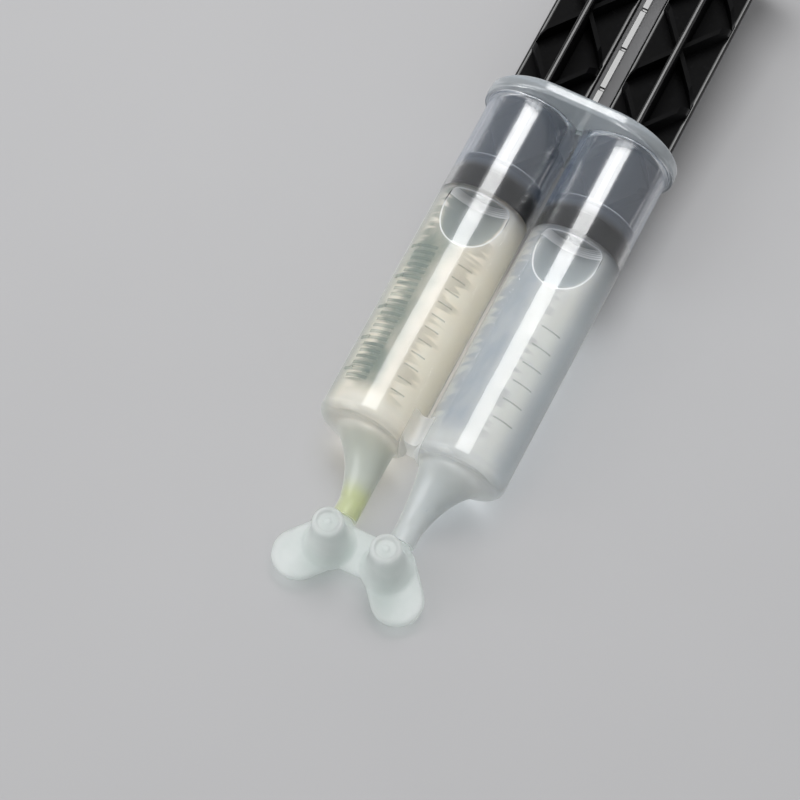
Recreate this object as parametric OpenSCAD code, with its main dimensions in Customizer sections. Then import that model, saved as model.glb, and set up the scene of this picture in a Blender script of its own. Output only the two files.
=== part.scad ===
// Twin-barrel epoxy syringe: two barrels under one finger flange, a double plunger,
// two sealing pistons, two adhesive charges and a snap-off closure with recap thimbles.
// Millimetres, +Z up. The barrels run along Y with the nozzles towards -Y, the resin side
// is -X, and the origin is the middle of the flat foot under the finger flange.

/* [Barrels] */
// Radius of each barrel's bore
bore_r = 8.6; // [7:0.1:11]
// Wall of each barrel
barrel_wall = 1; // [0.8:0.1:1.6]
// Length of a barrel, from the flange to the outside of its shoulder
barrel_len = 75.5; // [66:0.5:95]
// Open gap between the two barrels
barrel_gap = 0.8; // [0.5:0.1:3]
// Thickness of the shoulder that closes the front of a barrel
shoulder_t = 1.5; // [1:0.1:2.5]
// Rounding of the shoulder's outer edge
shoulder_round = 2.2; // [1.8:0.1:2.6]
// Length of the web that ties the two barrels at their shoulders
bridge_len = 5.2; // [3:0.1:8]
// Height of that web
bridge_h = 6; // [3:0.5:9]

/* [Finger flange] */
// Thickness of the flange
flange_t = 2.8; // [2:0.1:4]
// How far the flange stands above and below the barrels for the fingers
finger_reach = 4.9; // [3.5:0.1:7]
// How far the flange stands out past the barrels at each end
flange_side_lip = 1.1; // [0.5:0.1:4]

/* [Necks and nozzles] */
// Length of a neck, from the shoulder to the end of its nozzle
neck_len = 15.1; // [12:0.1:22]
// Straight length of the nozzle at the end of the neck
nozzle_len = 3; // [2:0.1:5]
// Outer radius of a nozzle
nozzle_r = 2.6; // [2.2:0.1:3.2]
// Wall of a neck at its nozzle
nozzle_wall = 0.8; // [0.6:0.1:1]
// Wall of a neck at the shoulder
neck_root_wall = 1.1; // [0.8:0.1:1.4]
// Distance between the two nozzles
nozzle_pitch = 12.2; // [10:0.1:14]
// How far the nozzles lie below the barrels' axes
nozzle_drop = 4.5; // [2:0.1:5.5]
// How far each neck's root is set in from its barrel's axis
neck_root_inset = 0.8; // [0.4:0.1:1.6]
// Distance over which a neck's flare dies away
neck_flare = 6; // [4:0.1:9]

/* [Plunger] */
// Thickness of the rods' fins
fin_t = 1.3; // [1:0.1:2]
// Room between a rod's fins and the bore
rod_clearance = 0.8; // [0.4:0.1:1.5]
// Half height of the zigzag ribs on a rod
rib_h = 4.6; // [3:0.1:6]
// Thickness of the zigzag ribs
rib_t = 0.9; // [0.7:0.1:1.4]
// Length along the rod of one zigzag rib
rib_pitch = 10; // [7:0.5:14]
// Width of the guide rail between the rods
rail_w = 1.2; // [0.8:0.1:1.8]
// Height of the guide rail
rail_h = 1.6; // [1.2:0.1:2.4]
// Distance between the steps in the top of the guide rail
rail_step_pitch = 10; // [6:0.5:15]
// Depth of those steps
rail_step_h = 0.4; // [0.2:0.1:0.6]
// How far the thumb plate stands out past the rods at each end
thumb_side_lip = 2.7; // [1:0.1:6]
// How far the thumb plate stands above and below the rods
thumb_lip = 3.7; // [1.5:0.1:6]
// Thickness of the thumb plate
thumb_t = 2.6; // [2:0.1:4]
// Number of grip bars on the thumb plate
grip_count = 5; // [3:2:7]
// Height of the grip bars
grip_h = 0.6; // [0.3:0.1:1]
// Gap left between the thumb plate and the flange with the plunger pushed home
thumb_gap = 4; // [2:0.5:10]

/* [Pistons] */
// Length of a piston
piston_len = 8.4; // [7.5:0.1:12]
// Length of the lip at the back of a piston
piston_lip = 0.7; // [0.4:0.1:1]
// Length of the waist behind a piston's sealing band
piston_waist = 2.6; // [1.5:0.1:3]
// Depth of that waist
piston_waist_depth = 0.6; // [0.3:0.1:1]
// Rounding of a piston's front edge
piston_round = 2.2; // [1.8:0.1:2.6]
// Radius of the stud that holds a piston on its rod
stud_r = 3; // [2:0.1:4]
// Length of that stud
stud_len = 4; // [3:0.1:5]

/* [Charges] */
// Length of the adhesive column in each barrel as supplied
charge_len = 51.4; // [35:0.1:60]
// Radius of the ball that shapes the air bubble in front of each piston
bubble_r = 7.5; // [6:0.1:9]
// Depth of the bubble below the top of the bore
bubble_depth = 3.4; // [2:0.1:4.5]
// Distance from the piston to the middle of the bubble
bubble_back = 6.6; // [5:0.1:9]

/* [Closure] */
// Thickness of the closure's wings
wing_t = 1.8; // [1.4:0.1:2.4]
// Radius of a wing round its thimble
wing_root_r = 5.2; // [4.6:0.1:5.8]
// Radius of a wing's free end
wing_tip_r = 5.2; // [4.5:0.1:6]
// How far a wing's free end is set outwards from its thimble
wing_splay = 4.4; // [3:0.1:7]
// How far a wing's free end is set forwards from its root
wing_reach = 5.3; // [4:0.1:8]
// Length of the bar that joins the two wings
wing_bar_len = 8.6; // [6:0.1:10]
// Depth of the groove where the closure snaps off a nozzle
break_depth = 0.5; // [0.2:0.1:0.5]
// Width of that groove
break_w = 0.6; // [0.4:0.1:0.8]
// How far a recap thimble is set forwards from its wing's root
thimble_set = 0.9; // [0:0.1:1.5]
// Height of a recap thimble above its wing
thimble_h = 11.6; // [8:0.1:14]
// Wall of a recap thimble
thimble_wall = 0.7; // [0.5:0.1:1]
// Taper of a thimble, from its mouth to its crown
thimble_taper = 0.3; // [0.1:0.1:0.6]
// Rounding of a thimble's crown
thimble_round = 0.6; // [0.3:0.1:0.9]
// Radius of the fillet between a thimble and its wing
thimble_fillet = 1.4; // [0.8:0.1:1.4]

/* [Fits] */
// Running clearance between a piston and its bore
piston_clearance = 0.05; // [0.02:0.01:0.1]
// Clearance between a stud and its socket
stud_clearance = 0.05; // [0.02:0.01:0.1]
// Clearance round the guide rail
rail_clearance = 0.35; // [0.3:0.05:0.6]
// Clearance of an adhesive charge in what holds it
charge_clearance = 0.05; // [0.02:0.01:0.1]
// Gap between a piston pushed home and the shoulder
end_gap = 0.5; // [0.3:0.1:1]
// Room inside a thimble round the nozzle that it recaps
recap_clearance = 0.1; // [0.05:0.05:0.2]

/* [Hidden] */
$fn = 72;
// Sides for a cut that leaves a thin web
fine_sides = 360;
// How far a cut runs on past what it cuts
over = 1;

// Sides: resin at -X, hardener at +X
RESIN = -1;
HARDENER = 1;

// Barrels and flange
barrel_r = bore_r + barrel_wall;
barrel_pitch = 2 * barrel_r + barrel_gap;
flange_h = 2 * (barrel_r + finger_reach);
flange_w = barrel_pitch + 2 * (barrel_r + flange_side_lip);
axis_z = flange_h / 2;
flange_front = -flange_t / 2;
flange_back = flange_t / 2;
shoulder_out = flange_front - barrel_len;
shoulder_in = shoulder_out + shoulder_t;
shoulder_in_round = max(shoulder_round - barrel_wall, 0.3);

// Necks: a flare that dies away from the shoulder to the nozzle
neck_rings = 9;
neck_sides = 28;
neck_root_r = barrel_r - shoulder_round - neck_root_inset;
neck_end = shoulder_out - neck_len;
nozzle_inset = (barrel_pitch - nozzle_pitch) / 2;
flare_len = neck_len - nozzle_len;
nozzle_z = axis_z - nozzle_drop;
function flare(s) = (exp(-s / neck_flare) - exp(-flare_len / neck_flare))
    / (1 - exp(-flare_len / neck_flare));
function between(tip, root, s) = tip + (root - tip) * flare(s);
neck_steps = concat([for (i = [0:neck_rings - 1]) flare_len * i / (neck_rings - 1)], [neck_len]);
function clamped(s) = min(max(s, 0), flare_len);

// Pistons and plunger
piston_r = bore_r - piston_clearance;
piston_front = shoulder_in + charge_len;
piston_back = piston_front + piston_len;
stroke = charge_len - end_gap;
thumb_front = flange_back + stroke + thumb_gap;
rod_r = bore_r - rod_clearance;
rod_len = thumb_front - piston_back;
thumb_w = barrel_pitch + 2 * (rod_r + thumb_side_lip);
thumb_h = 2 * (rod_r + thumb_lip);
rail_low = sqrt(max(barrel_r ^ 2 - (barrel_pitch / 2 - rail_w / 2 - rail_clearance) ^ 2, 0));
rail_len = thumb_front - flange_front;
stud_chamfer = 0.5;

// Closure
wing_z = nozzle_z - wing_t / 2;
thimble_bore = nozzle_r + recap_clearance;
thimble_r = thimble_bore + thimble_wall;
wing_root_y = neck_end - wing_root_r;
thimble_y = wing_root_y - thimble_set;
break_r = nozzle_r - break_depth;
stub_len = wing_root_r + thimble_set - thimble_bore - break_w;

// Colours
FROSTED = [0.86, 0.90, 0.89, 0.6];
CREAM = [0.86, 0.82, 0.70];
CLEAR_BLUE = [0.80, 0.84, 0.87];
BLACK = [0.06, 0.06, 0.07];

// Puts a shape that is drawn along +Z onto a barrel's axis, running to -Y from y
module along_barrel(side, y) {
    translate([side * barrel_pitch / 2, y, axis_z]) rotate([90, 0, 0]) children();
}

// Half outline of a closed tube: length h, radius r, rounded at its far end
module capsule_half(r, h, round_r) {
    square([r, h - round_r]);
    square([r - round_r, h]);
    translate([r - round_r, h - round_r]) intersection() {
        circle(round_r);
        square(round_r);
    }
}

// Plate outline with straight long edges and round ends
module stadium(w, h) {
    end_x = max(w - h, 0) / 2;
    square([2 * end_x, h], center = true);
    for (side = [RESIN, HARDENER]) translate([side * end_x, 0]) circle(h / 2);
}

module barrel(side) {
    color(FROSTED) difference() {
        along_barrel(side, flange_front) rotate_extrude() difference() {
            capsule_half(barrel_r, barrel_len, shoulder_round);
            capsule_half(bore_r, barrel_len - shoulder_t, shoulder_in_round);
        }
        translate([-side * neck_root_inset, 0, 0]) along_barrel(side, shoulder_in + over)
            cylinder(r = neck_root_r - neck_root_wall, h = shoulder_t + 2 * over);
    }
}

module finger_flange() {
    slot_w = rail_w + 2 * rail_clearance;
    slot_h = rail_h + 2 * rail_clearance;
    color(FROSTED) translate([0, flange_back, axis_z]) rotate([90, 0, 0])
        linear_extrude(flange_t) difference() {
            stadium(flange_w, flange_h);
            for (side = [RESIN, HARDENER]) translate([side * barrel_pitch / 2, 0]) circle(bore_r);
            translate([-slot_w / 2, rail_low - rail_clearance]) square([slot_w, slot_h]);
        }
}

// Web in the groove between the barrels, ending where their shoulders start to round
module shoulder_bridge() {
    color(FROSTED) difference() {
        translate([-barrel_pitch / 4, shoulder_out + shoulder_round, axis_z - bridge_h / 2])
            cube([barrel_pitch / 2, bridge_len, bridge_h]);
        for (side = [RESIN, HARDENER]) along_barrel(side, 0)
            cylinder(r = barrel_r, h = barrel_len + 2 * flange_t, $fn = fine_sides);
    }
}

// One ring of a neck at distance s from the shoulder, shrunk by a wall and a clearance
function neck_ring(side, s, tip_r, root_r) =
    let (c = clamped(s),
         x = side * (barrel_pitch / 2 - between(nozzle_inset, neck_root_inset, c)),
         z = axis_z - between(nozzle_drop, 0, c),
         r = between(tip_r, root_r, c))
    [for (k = [0:neck_sides - 1])
        [x + r * cos(360 * k / neck_sides), shoulder_out - s, z + r * sin(360 * k / neck_sides)]];

// Triangles between two rings of points that start at a and b
function band(a, b) = [for (k = [0:neck_sides - 1]) let (n = (k + 1) % neck_sides)
    each [[a + k, b + k, b + n], [a + k, b + n, a + n]]];

module neck(side) {
    count = len(neck_steps);
    points = [
        for (s = neck_steps) each neck_ring(side, s, nozzle_r, neck_root_r),
        for (s = neck_steps)
            each neck_ring(side, s, nozzle_r - nozzle_wall, neck_root_r - neck_root_wall)];
    inner = count * neck_sides;
    last = (count - 1) * neck_sides;
    faces = [
        for (i = [0:count - 2]) each band(i * neck_sides, (i + 1) * neck_sides),
        for (i = [0:count - 2]) each band(inner + (i + 1) * neck_sides, inner + i * neck_sides),
        each band(inner, 0),
        each band(last, inner + last)];
    color(FROSTED) polyhedron(points, faces);
}

// What fills a neck, from the inside of the shoulder to the end of the nozzle
module neck_charge(side, tint) {
    steps = concat([-shoulder_t], neck_steps);
    count = len(steps);
    points = [for (s = steps)
        each neck_ring(side, s, nozzle_r - nozzle_wall - charge_clearance,
            neck_root_r - neck_root_wall - charge_clearance)];
    faces = [
        for (i = [0:count - 2]) each band(i * neck_sides, (i + 1) * neck_sides),
        [for (k = [0:neck_sides - 1]) k],
        [for (k = [neck_sides - 1:-1:0]) (count - 1) * neck_sides + k]];
    color(tint) polyhedron(points, faces);
}

// Adhesive column between a piston and the shoulder, with the air bubble left at its top
module charge(side, tint) {
    bubble_z = bore_r - bubble_depth + bubble_r;
    color(tint) difference() {
        along_barrel(side, piston_front) rotate_extrude()
            capsule_half(bore_r - charge_clearance, charge_len, shoulder_in_round);
        translate([side * barrel_pitch / 2, piston_front - bubble_back, axis_z + bubble_z])
            sphere(bubble_r);
    }
}

// Zigzag of ribs across a rod, as seen from above, from the piston at y = 0 to the thumb plate
module zigzag() {
    count = ceil(rod_len / rib_pitch);
    lean = atan2(rod_r, rib_pitch);
    rib_len = norm([rod_r, rib_pitch]);
    for (i = [0:count - 1], side = [RESIN, HARDENER])
        translate([i % 2 == 0 ? 0 : side * rod_r, i * rib_pitch])
            rotate(side * (i % 2 == 0 ? -lean : lean)) translate([-rib_t / 2, 0])
                square([rib_t, rib_len]);
}

module rod(side) {
    color(BLACK) {
        intersection() {
            along_barrel(side, thumb_front) cylinder(r = rod_r, h = rod_len);
            translate([side * barrel_pitch / 2, piston_back, axis_z]) {
                translate([-rod_r, 0, -fin_t / 2]) cube([2 * rod_r, rod_len, fin_t]);
                translate([-fin_t / 2, 0, -rod_r]) cube([fin_t, rod_len, 2 * rod_r]);
                translate([0, 0, -rib_h]) linear_extrude(2 * rib_h) zigzag();
            }
        }
        along_barrel(side, piston_back + fin_t)
            cylinder(r = stud_r, h = stud_len + fin_t - stud_chamfer);
        along_barrel(side, piston_back - stud_len + stud_chamfer)
            cylinder(r1 = stud_r, r2 = stud_r - stud_chamfer, h = stud_chamfer);
    }
}

// Bar that runs in the flange's slot and over the groove between the barrels
module guide_rail() {
    count = floor(rail_len / rail_step_pitch);
    color(BLACK) translate([-rail_w / 2, flange_front, axis_z + rail_low]) difference() {
        cube([rail_w, rail_len, rail_h]);
        for (i = [1:count]) translate([-over, i * rail_step_pitch, rail_h - rail_step_h])
            cube([rail_w + 2 * over, 2 * rail_step_h, 2 * rail_step_h]);
    }
}

module thumb_plate() {
    bar_w = thumb_h / (2 * grip_count + 1);
    color(BLACK) translate([0, thumb_front, axis_z]) rotate([90, 0, 0]) {
        translate([0, 0, -thumb_t]) linear_extrude(thumb_t) stadium(thumb_w, thumb_h);
        translate([0, 0, -thumb_t - grip_h]) linear_extrude(grip_h) intersection() {
            stadium(thumb_w - 2 * bar_w, thumb_h - 2 * bar_w);
            for (i = [0:grip_count - 1])
                translate([-thumb_w / 2, -thumb_h / 2 + (2 * i + 1) * bar_w]) square([thumb_w, bar_w]);
        }
    }
}

module piston(side) {
    socket_r = stud_r + stud_clearance;
    color(BLACK) along_barrel(side, piston_back) rotate_extrude() difference() {
        capsule_half(piston_r, piston_len, piston_round);
        translate([piston_r - piston_waist_depth, piston_lip]) square([over, piston_waist]);
        translate([0, -over]) square([socket_r, stud_len + over + stud_clearance]);
    }
}

// One wing of the closure, as seen from above
module wing(side) {
    root = [side * nozzle_pitch / 2, wing_root_y];
    tip = root + [side * wing_splay, -wing_reach];
    gap = norm(tip - root);
    along = (tip - root) / gap;
    across = [-along.y, along.x];
    sine = (wing_root_r - wing_tip_r) / gap;
    cosine = sqrt(1 - sine ^ 2);
    function edge(s) = along * sine + across * cosine * s;
    translate(root) circle(wing_root_r);
    translate(tip) circle(wing_tip_r);
    polygon([root + edge(1) * wing_root_r, tip + edge(1) * wing_tip_r,
        tip + edge(-1) * wing_tip_r, root + edge(-1) * wing_root_r]);
}

// Hollow cap that stands on a wing with its mouth under the wing
module thimble_half() {
    height = wing_t + thimble_h;
    difference() {
        union() {
            polygon([[0, 0], [thimble_r, 0], [thimble_r, wing_t],
                [thimble_r - thimble_taper, height - thimble_round], [0, height - thimble_round]]);
            square([thimble_r - thimble_taper - thimble_round, height]);
            translate([thimble_r - thimble_taper - thimble_round, height - thimble_round])
                circle(thimble_round);
            difference() {
                square([thimble_r + thimble_fillet, wing_t + thimble_fillet]);
                translate([thimble_r + thimble_fillet, wing_t + thimble_fillet])
                    circle(thimble_fillet);
            }
        }
        polygon([[-over, -over], [thimble_bore, -over], [thimble_bore, 0],
            [thimble_bore - thimble_taper, height - thimble_wall - thimble_round],
            [-over, height - thimble_wall - thimble_round]]);
        translate([-over, -over]) square([over, height + 2 * over]);
    }
}

module snap_off_closure() {
    color(FROSTED) difference() {
        union() {
            translate([0, 0, wing_z]) linear_extrude(wing_t) {
                for (side = [RESIN, HARDENER]) wing(side);
                translate([0, wing_root_y]) square([nozzle_pitch, wing_bar_len], center = true);
            }
            for (side = [RESIN, HARDENER]) {
                translate([side * nozzle_pitch / 2, thimble_y, wing_z]) rotate_extrude() thimble_half();
                translate([side * nozzle_pitch / 2, neck_end, nozzle_z]) rotate([90, 0, 0]) {
                    cylinder(r = break_r, h = break_w);
                    translate([0, 0, break_w]) cylinder(r = nozzle_r, h = stub_len);
                }
            }
        }
        for (side = [RESIN, HARDENER])
            translate([side * nozzle_pitch / 2, thimble_y, nozzle_z - 2 * nozzle_r])
                cylinder(r = thimble_bore, h = 2 * nozzle_r + wing_t / 2);
    }
}

barrel(RESIN);  // resin_barrel
barrel(HARDENER);  // hardener_barrel
finger_flange();
shoulder_bridge();
neck(RESIN);  // resin_neck
neck(HARDENER);  // hardener_neck
charge(RESIN, CREAM);  // resin_charge
charge(HARDENER, CLEAR_BLUE);  // hardener_charge
neck_charge(RESIN, CREAM);  // resin_neck_charge
neck_charge(HARDENER, CLEAR_BLUE);  // hardener_neck_charge
rod(RESIN);  // resin_rod
rod(HARDENER);  // hardener_rod
guide_rail();
thumb_plate();
piston(RESIN);  // resin_piston
piston(HARDENER);  // hardener_piston
snap_off_closure();
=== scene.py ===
"""Looks of a twin-barrel epoxy syringe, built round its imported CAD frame.

Lengths in the classes are millimetres, in the CAD frame: the barrels run along Y with the nozzles
towards -Y, the resin side is -X, +Z is up and the origin is the flat foot under the finger flange.

In the finishes, rough, gleam and milk_blur are a base and what each noise adds, and blur is a lowest
and a highest value. A band is where a noise goes from none to all. Ripple, frost and dent are a bump's
strength and its depth in millimetres.
"""

import logging
import math
from dataclasses import dataclass, field
from enum import Enum
from typing import Callable, Iterable, Sequence

import bmesh
import bpy
from mathutils import Matrix, Vector


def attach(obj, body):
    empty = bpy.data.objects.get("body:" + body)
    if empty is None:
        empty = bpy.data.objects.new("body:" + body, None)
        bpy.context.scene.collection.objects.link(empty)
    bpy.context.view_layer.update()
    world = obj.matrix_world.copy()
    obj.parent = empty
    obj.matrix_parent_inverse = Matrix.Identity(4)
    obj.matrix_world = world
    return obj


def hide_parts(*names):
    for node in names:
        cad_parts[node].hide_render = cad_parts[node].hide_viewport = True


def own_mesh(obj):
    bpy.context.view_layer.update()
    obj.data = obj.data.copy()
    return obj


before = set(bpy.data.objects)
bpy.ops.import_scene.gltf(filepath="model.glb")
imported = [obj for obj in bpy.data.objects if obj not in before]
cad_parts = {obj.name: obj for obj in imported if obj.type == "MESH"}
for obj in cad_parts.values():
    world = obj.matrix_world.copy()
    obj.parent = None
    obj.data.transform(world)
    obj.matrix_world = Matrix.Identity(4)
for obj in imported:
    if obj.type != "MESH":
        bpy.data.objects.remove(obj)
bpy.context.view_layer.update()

MM = 0.001
# Points closer than this, in millimetres, are merged
WELD = 0.002
# Edges closer than this to a plane, in millimetres, lie on it
NEAR = 0.1
# How far a cutter reaches past what it cuts, in millimetres
OVERCUT = 1.0
# A step or a change of size below this counts as none
TINY = 1e-9
# How strongly large faces set the shading of the roundings beside them, out of 100
FACE_PULL = 90
# Material slot of a piece's second finish
ACCENT = 1
PLASTIC_IOR = 1.5
LOG = logging.getLogger("epoxy_syringe")

Point = tuple[float, float, float]
Colour = tuple[float, float, float]


class Side(Enum):
    """The two halves of the syringe, by the sign of X."""

    RESIN = -1
    HARDENER = 1

    @property
    def label(self) -> str:
        """Name of the half, for piece names."""
        return self.name.lower()


class Along(Enum):
    """Which way a loft's rings are threaded."""

    Y = (math.pi / 2, 0.0, 0.0)
    Z = (0.0, 0.0, 0.0)


class Skin(Enum):
    """Material slots of the barrel moulding, in order."""

    WALL = 0
    TICK = 1
    FLANGE = 2
    SLOT = 3


class Fuse(Enum):
    """How one solid acts on another."""

    ADD = "UNION"
    CUT = "DIFFERENCE"
    KEEP = "INTERSECT"


@dataclass(frozen=True)
class Ring:
    """One round section of a loft, in millimetres."""

    x: float
    y: float
    z: float
    r: float

    @property
    def centre(self) -> Vector:
        """Middle of the ring, in metres."""
        return Vector((self.x, self.y, self.z)) * MM


@dataclass(frozen=True)
class Noise:
    """A noise texture: cycles in a metre, octaves, a factor on each coordinate, and how rough it is."""

    scale: float
    detail: float = 2.0
    stretch: Point = (1.0, 1.0, 1.0)
    rough: float = 0.55

    @property
    def is_even(self) -> bool:
        """Whether it is the same in every direction."""
        return len(set(self.stretch)) == 1


def arc(first: float, last: float, steps: int) -> list[tuple[float, float]]:
    """Works out points along an arc.

    Args:
        first: The first angle, in degrees.
        last: The last angle, in degrees.
        steps: How many steps lie between them.

    Returns:
        A sine and a cosine for each point.
    """
    angles = [math.radians(first + (last - first) * i / steps) for i in range(steps + 1)]
    return [(math.sin(a), math.cos(a)) for a in angles]


class Bench:
    """One mesh being worked by hand: each method is a move in edit or object mode."""

    def __init__(self, obj: bpy.types.Object) -> None:
        """Takes up a new object.

        Args:
            obj: The mesh object to work on.
        """
        self.obj = obj

    @staticmethod
    def clear() -> None:
        """Leaves edit mode and deselects everything."""
        if bpy.context.object is not None and bpy.context.object.mode != "OBJECT":
            bpy.ops.object.mode_set(mode="OBJECT")
        bpy.ops.object.select_all(action="DESELECT")

    @classmethod
    def named(cls, name: str) -> "Bench":
        """Takes up the primitive that was just added.

        Args:
            name: Name for the object and its mesh.

        Returns:
            The bench that holds it.
        """
        obj = bpy.context.object
        obj.name = name
        obj.data.name = name
        return cls(obj)

    @classmethod
    def block(cls, name: str, low: Sequence[float], high: Sequence[float]) -> "Bench":
        """Adds a cube and sizes it to a box.

        Args:
            name: Name for the object.
            low: Lowest corner, in millimetres.
            high: Highest corner, in millimetres.

        Returns:
            The bench that holds it.
        """
        cls.clear()
        middle = [(a + b) / 2 * MM for a, b in zip(low, high)]
        span = [(b - a) * MM for a, b in zip(low, high)]
        bpy.ops.mesh.primitive_cube_add(size=1, location=middle, scale=span)
        return cls.named(name).place()

    @classmethod
    def loft(cls, name: str, rings: Sequence[Ring], sides: int, along: Along = Along.Y) -> "Bench":
        """Adds a circle and extrudes it from ring to ring into a closed solid.

        Args:
            name: Name for the object.
            rings: The sections, in order.
            sides: Vertices on each ring.
            along: The axis that the rings are threaded on.

        Returns:
            The bench that holds the solid.
        """
        cls.clear()
        first = rings[0]
        bpy.ops.mesh.primitive_circle_add(
            vertices=sides, radius=first.r * MM, location=first.centre, rotation=along.value)
        bench = cls.named(name)
        bench.edit()
        for last, ring in zip(rings, rings[1:]):
            bpy.ops.mesh.extrude_region_move(
                TRANSFORM_OT_translate={"value": ring.centre - last.centre})
            grow = ring.r / last.r
            if abs(grow - 1) > TINY:
                bpy.ops.transform.resize(value=(grow, grow, grow), center_override=ring.centre)
        bpy.ops.mesh.select_all(action="SELECT")
        bpy.ops.mesh.fill_holes(sides=0)
        return bench.close()

    @classmethod
    def slab(cls, name: str, radius: float, sides: int, centre: Sequence[float], along: Along,
             stretch: Sequence[float], depth: Sequence[float]) -> "Bench":
        """Adds a disc, pulls its two halves apart into a plate with round ends and thickens it.

        Args:
            name: Name for the object.
            radius: Radius of the round ends, in millimetres.
            sides: Vertices on the disc.
            centre: Middle of the first round end, in millimetres.
            along: The axis that the plate faces.
            stretch: From the first round end to the second, in millimetres.
            depth: From the first face to the second, in millimetres.

        Returns:
            The bench that holds the plate.
        """
        cls.clear()
        start = Vector(centre) * MM
        shift = Vector(stretch) * MM
        bpy.ops.mesh.primitive_circle_add(
            vertices=sides, radius=radius * MM, location=start, rotation=along.value)
        bench = cls.named(name).place()
        bench.edit()
        bench.pick_points(lambda p: (p - start).dot(shift) > TINY)
        bpy.ops.transform.translate(value=shift)
        bpy.ops.mesh.select_all(action="SELECT")
        bpy.ops.mesh.extrude_region_move(TRANSFORM_OT_translate={"value": Vector(depth) * MM})
        bpy.ops.mesh.select_all(action="SELECT")
        bpy.ops.mesh.fill_holes(sides=0)
        return bench.close()

    def take(self) -> None:
        """Makes this the only selected object, and the active one."""
        self.clear()
        self.obj.select_set(True)
        bpy.context.view_layer.objects.active = self.obj

    def edit(self) -> None:
        """Opens the mesh in edit mode, all selected."""
        self.take()
        bpy.ops.object.mode_set(mode="EDIT")
        bpy.ops.mesh.select_mode(type="VERT")
        bpy.ops.mesh.select_all(action="SELECT")

    def close(self) -> "Bench":
        """Merges doubles, turns the faces outwards, leaves edit mode and puts the place in the mesh.

        Returns:
            This bench.
        """
        bpy.ops.mesh.select_all(action="SELECT")
        bpy.ops.mesh.remove_doubles(threshold=WELD * MM)
        bpy.ops.mesh.normals_make_consistent(inside=False)
        bpy.ops.object.mode_set(mode="OBJECT")
        return self.place()

    def place(self) -> "Bench":
        """Puts the object's place into its mesh.

        Returns:
            This bench.
        """
        self.take()
        bpy.ops.object.transform_apply(location=True, rotation=True, scale=True)
        return self

    def pick_points(self, test: Callable[[Vector], bool]) -> None:
        """Selects vertices by their place.

        Args:
            test: Says whether a point, in metres, is picked.
        """
        bpy.ops.mesh.select_mode(type="VERT")
        mesh = bmesh.from_edit_mesh(self.obj.data)
        for v in mesh.verts:
            v.select_set(test(self.obj.matrix_world @ v.co))
        mesh.select_flush_mode()
        bmesh.update_edit_mesh(self.obj.data)

    def pick_faces(self, test: Callable[[Vector], bool]) -> int:
        """Selects faces by their place.

        Args:
            test: Says whether a face with that middle, in metres, is picked.

        Returns:
            How many faces were picked.
        """
        bpy.ops.mesh.select_mode(type="FACE")
        mesh = bmesh.from_edit_mesh(self.obj.data)
        picked = 0
        for f in mesh.faces:
            wanted = test(f.calc_center_median())
            f.select_set(wanted)
            picked += wanted
        bmesh.update_edit_mesh(self.obj.data)
        return picked

    def pick_edges(self, test: Callable[[Vector, float], bool]) -> None:
        """Selects edges by their place and by the angle between their faces.

        Args:
            test: Says whether an edge with that middle, in metres, and angle is picked.
        """
        bpy.ops.mesh.select_mode(type="EDGE")
        mesh = bmesh.from_edit_mesh(self.obj.data)
        for e in mesh.edges:
            middle = (e.verts[0].co + e.verts[1].co) / 2
            e.select_set(test(middle, e.calc_face_angle(0.0)))
        mesh.select_flush_mode()
        bmesh.update_edit_mesh(self.obj.data)

    def turn(self, degrees: float, centre: Sequence[float]) -> "Bench":
        """Turns the whole mesh about an upright axis.

        Args:
            degrees: How far, anticlockwise from above.
            centre: A point on the axis, in millimetres.

        Returns:
            This bench.
        """
        self.edit()
        bpy.ops.transform.rotate(
            value=-math.radians(degrees), orient_axis="Z", center_override=Vector(centre) * MM)
        bpy.ops.object.mode_set(mode="OBJECT")
        return self

    def shift(self, step: Sequence[float]) -> "Bench":
        """Moves the whole mesh.

        Args:
            step: How far, in millimetres.

        Returns:
            This bench.
        """
        self.edit()
        bpy.ops.transform.translate(value=Vector(step) * MM)
        bpy.ops.object.mode_set(mode="OBJECT")
        return self

    def copy(self, name: str, step: Sequence[float]) -> "Bench":
        """Makes a copy with its own mesh.

        Args:
            name: Name for the copy.
            step: Where the copy goes from here, in millimetres.

        Returns:
            The bench that holds the copy.
        """
        self.take()
        bpy.ops.object.duplicate(linked=False)
        return Bench.named(name).shift(step)

    def modify(self, kind: str, **settings: object) -> "Bench":
        """Adds a modifier, sets it and applies it.

        Args:
            kind: The modifier's type.
            settings: Its properties.

        Returns:
            This bench.
        """
        self.take()
        bpy.ops.object.modifier_add(type=kind)
        modifier = self.obj.modifiers[-1]
        for key, value in settings.items():
            setattr(modifier, key, value)
        bpy.ops.object.modifier_apply(modifier=modifier.name)
        return self

    def fuse(self, how: Fuse, *tools: "Bench") -> "Bench":
        """Joins other solids to this one, cuts them from it or keeps what is in both.

        Args:
            how: Which of these.
            tools: The other solids, which are used up.

        Returns:
            This bench.
        """
        for tool in tools:
            self.modify("BOOLEAN", operation=how.value, solver="EXACT", object=tool.obj)
            bpy.data.objects.remove(tool.obj, do_unlink=True)
        return self

    def join(self, *others: "Bench") -> "Bench":
        """Joins other meshes to this one as they are.

        Args:
            others: The other meshes, which are used up.

        Returns:
            This bench.
        """
        self.take()
        for other in others:
            other.obj.select_set(True)
        bpy.ops.object.join()
        return self

    def round_edges(self, width: float, segments: int, sharper_than: float = 50.0) -> "Bench":
        """Rounds every edge that is sharper than an angle.

        Args:
            width: Width of the rounding, in millimetres.
            segments: Steps across it.
            sharper_than: The angle, in degrees.

        Returns:
            This bench.
        """
        return self.modify(
            "BEVEL", width=width * MM, segments=segments, limit_method="ANGLE",
            angle_limit=math.radians(sharper_than), use_clamp_overlap=True, miter_outer="MITER_ARC")

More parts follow.
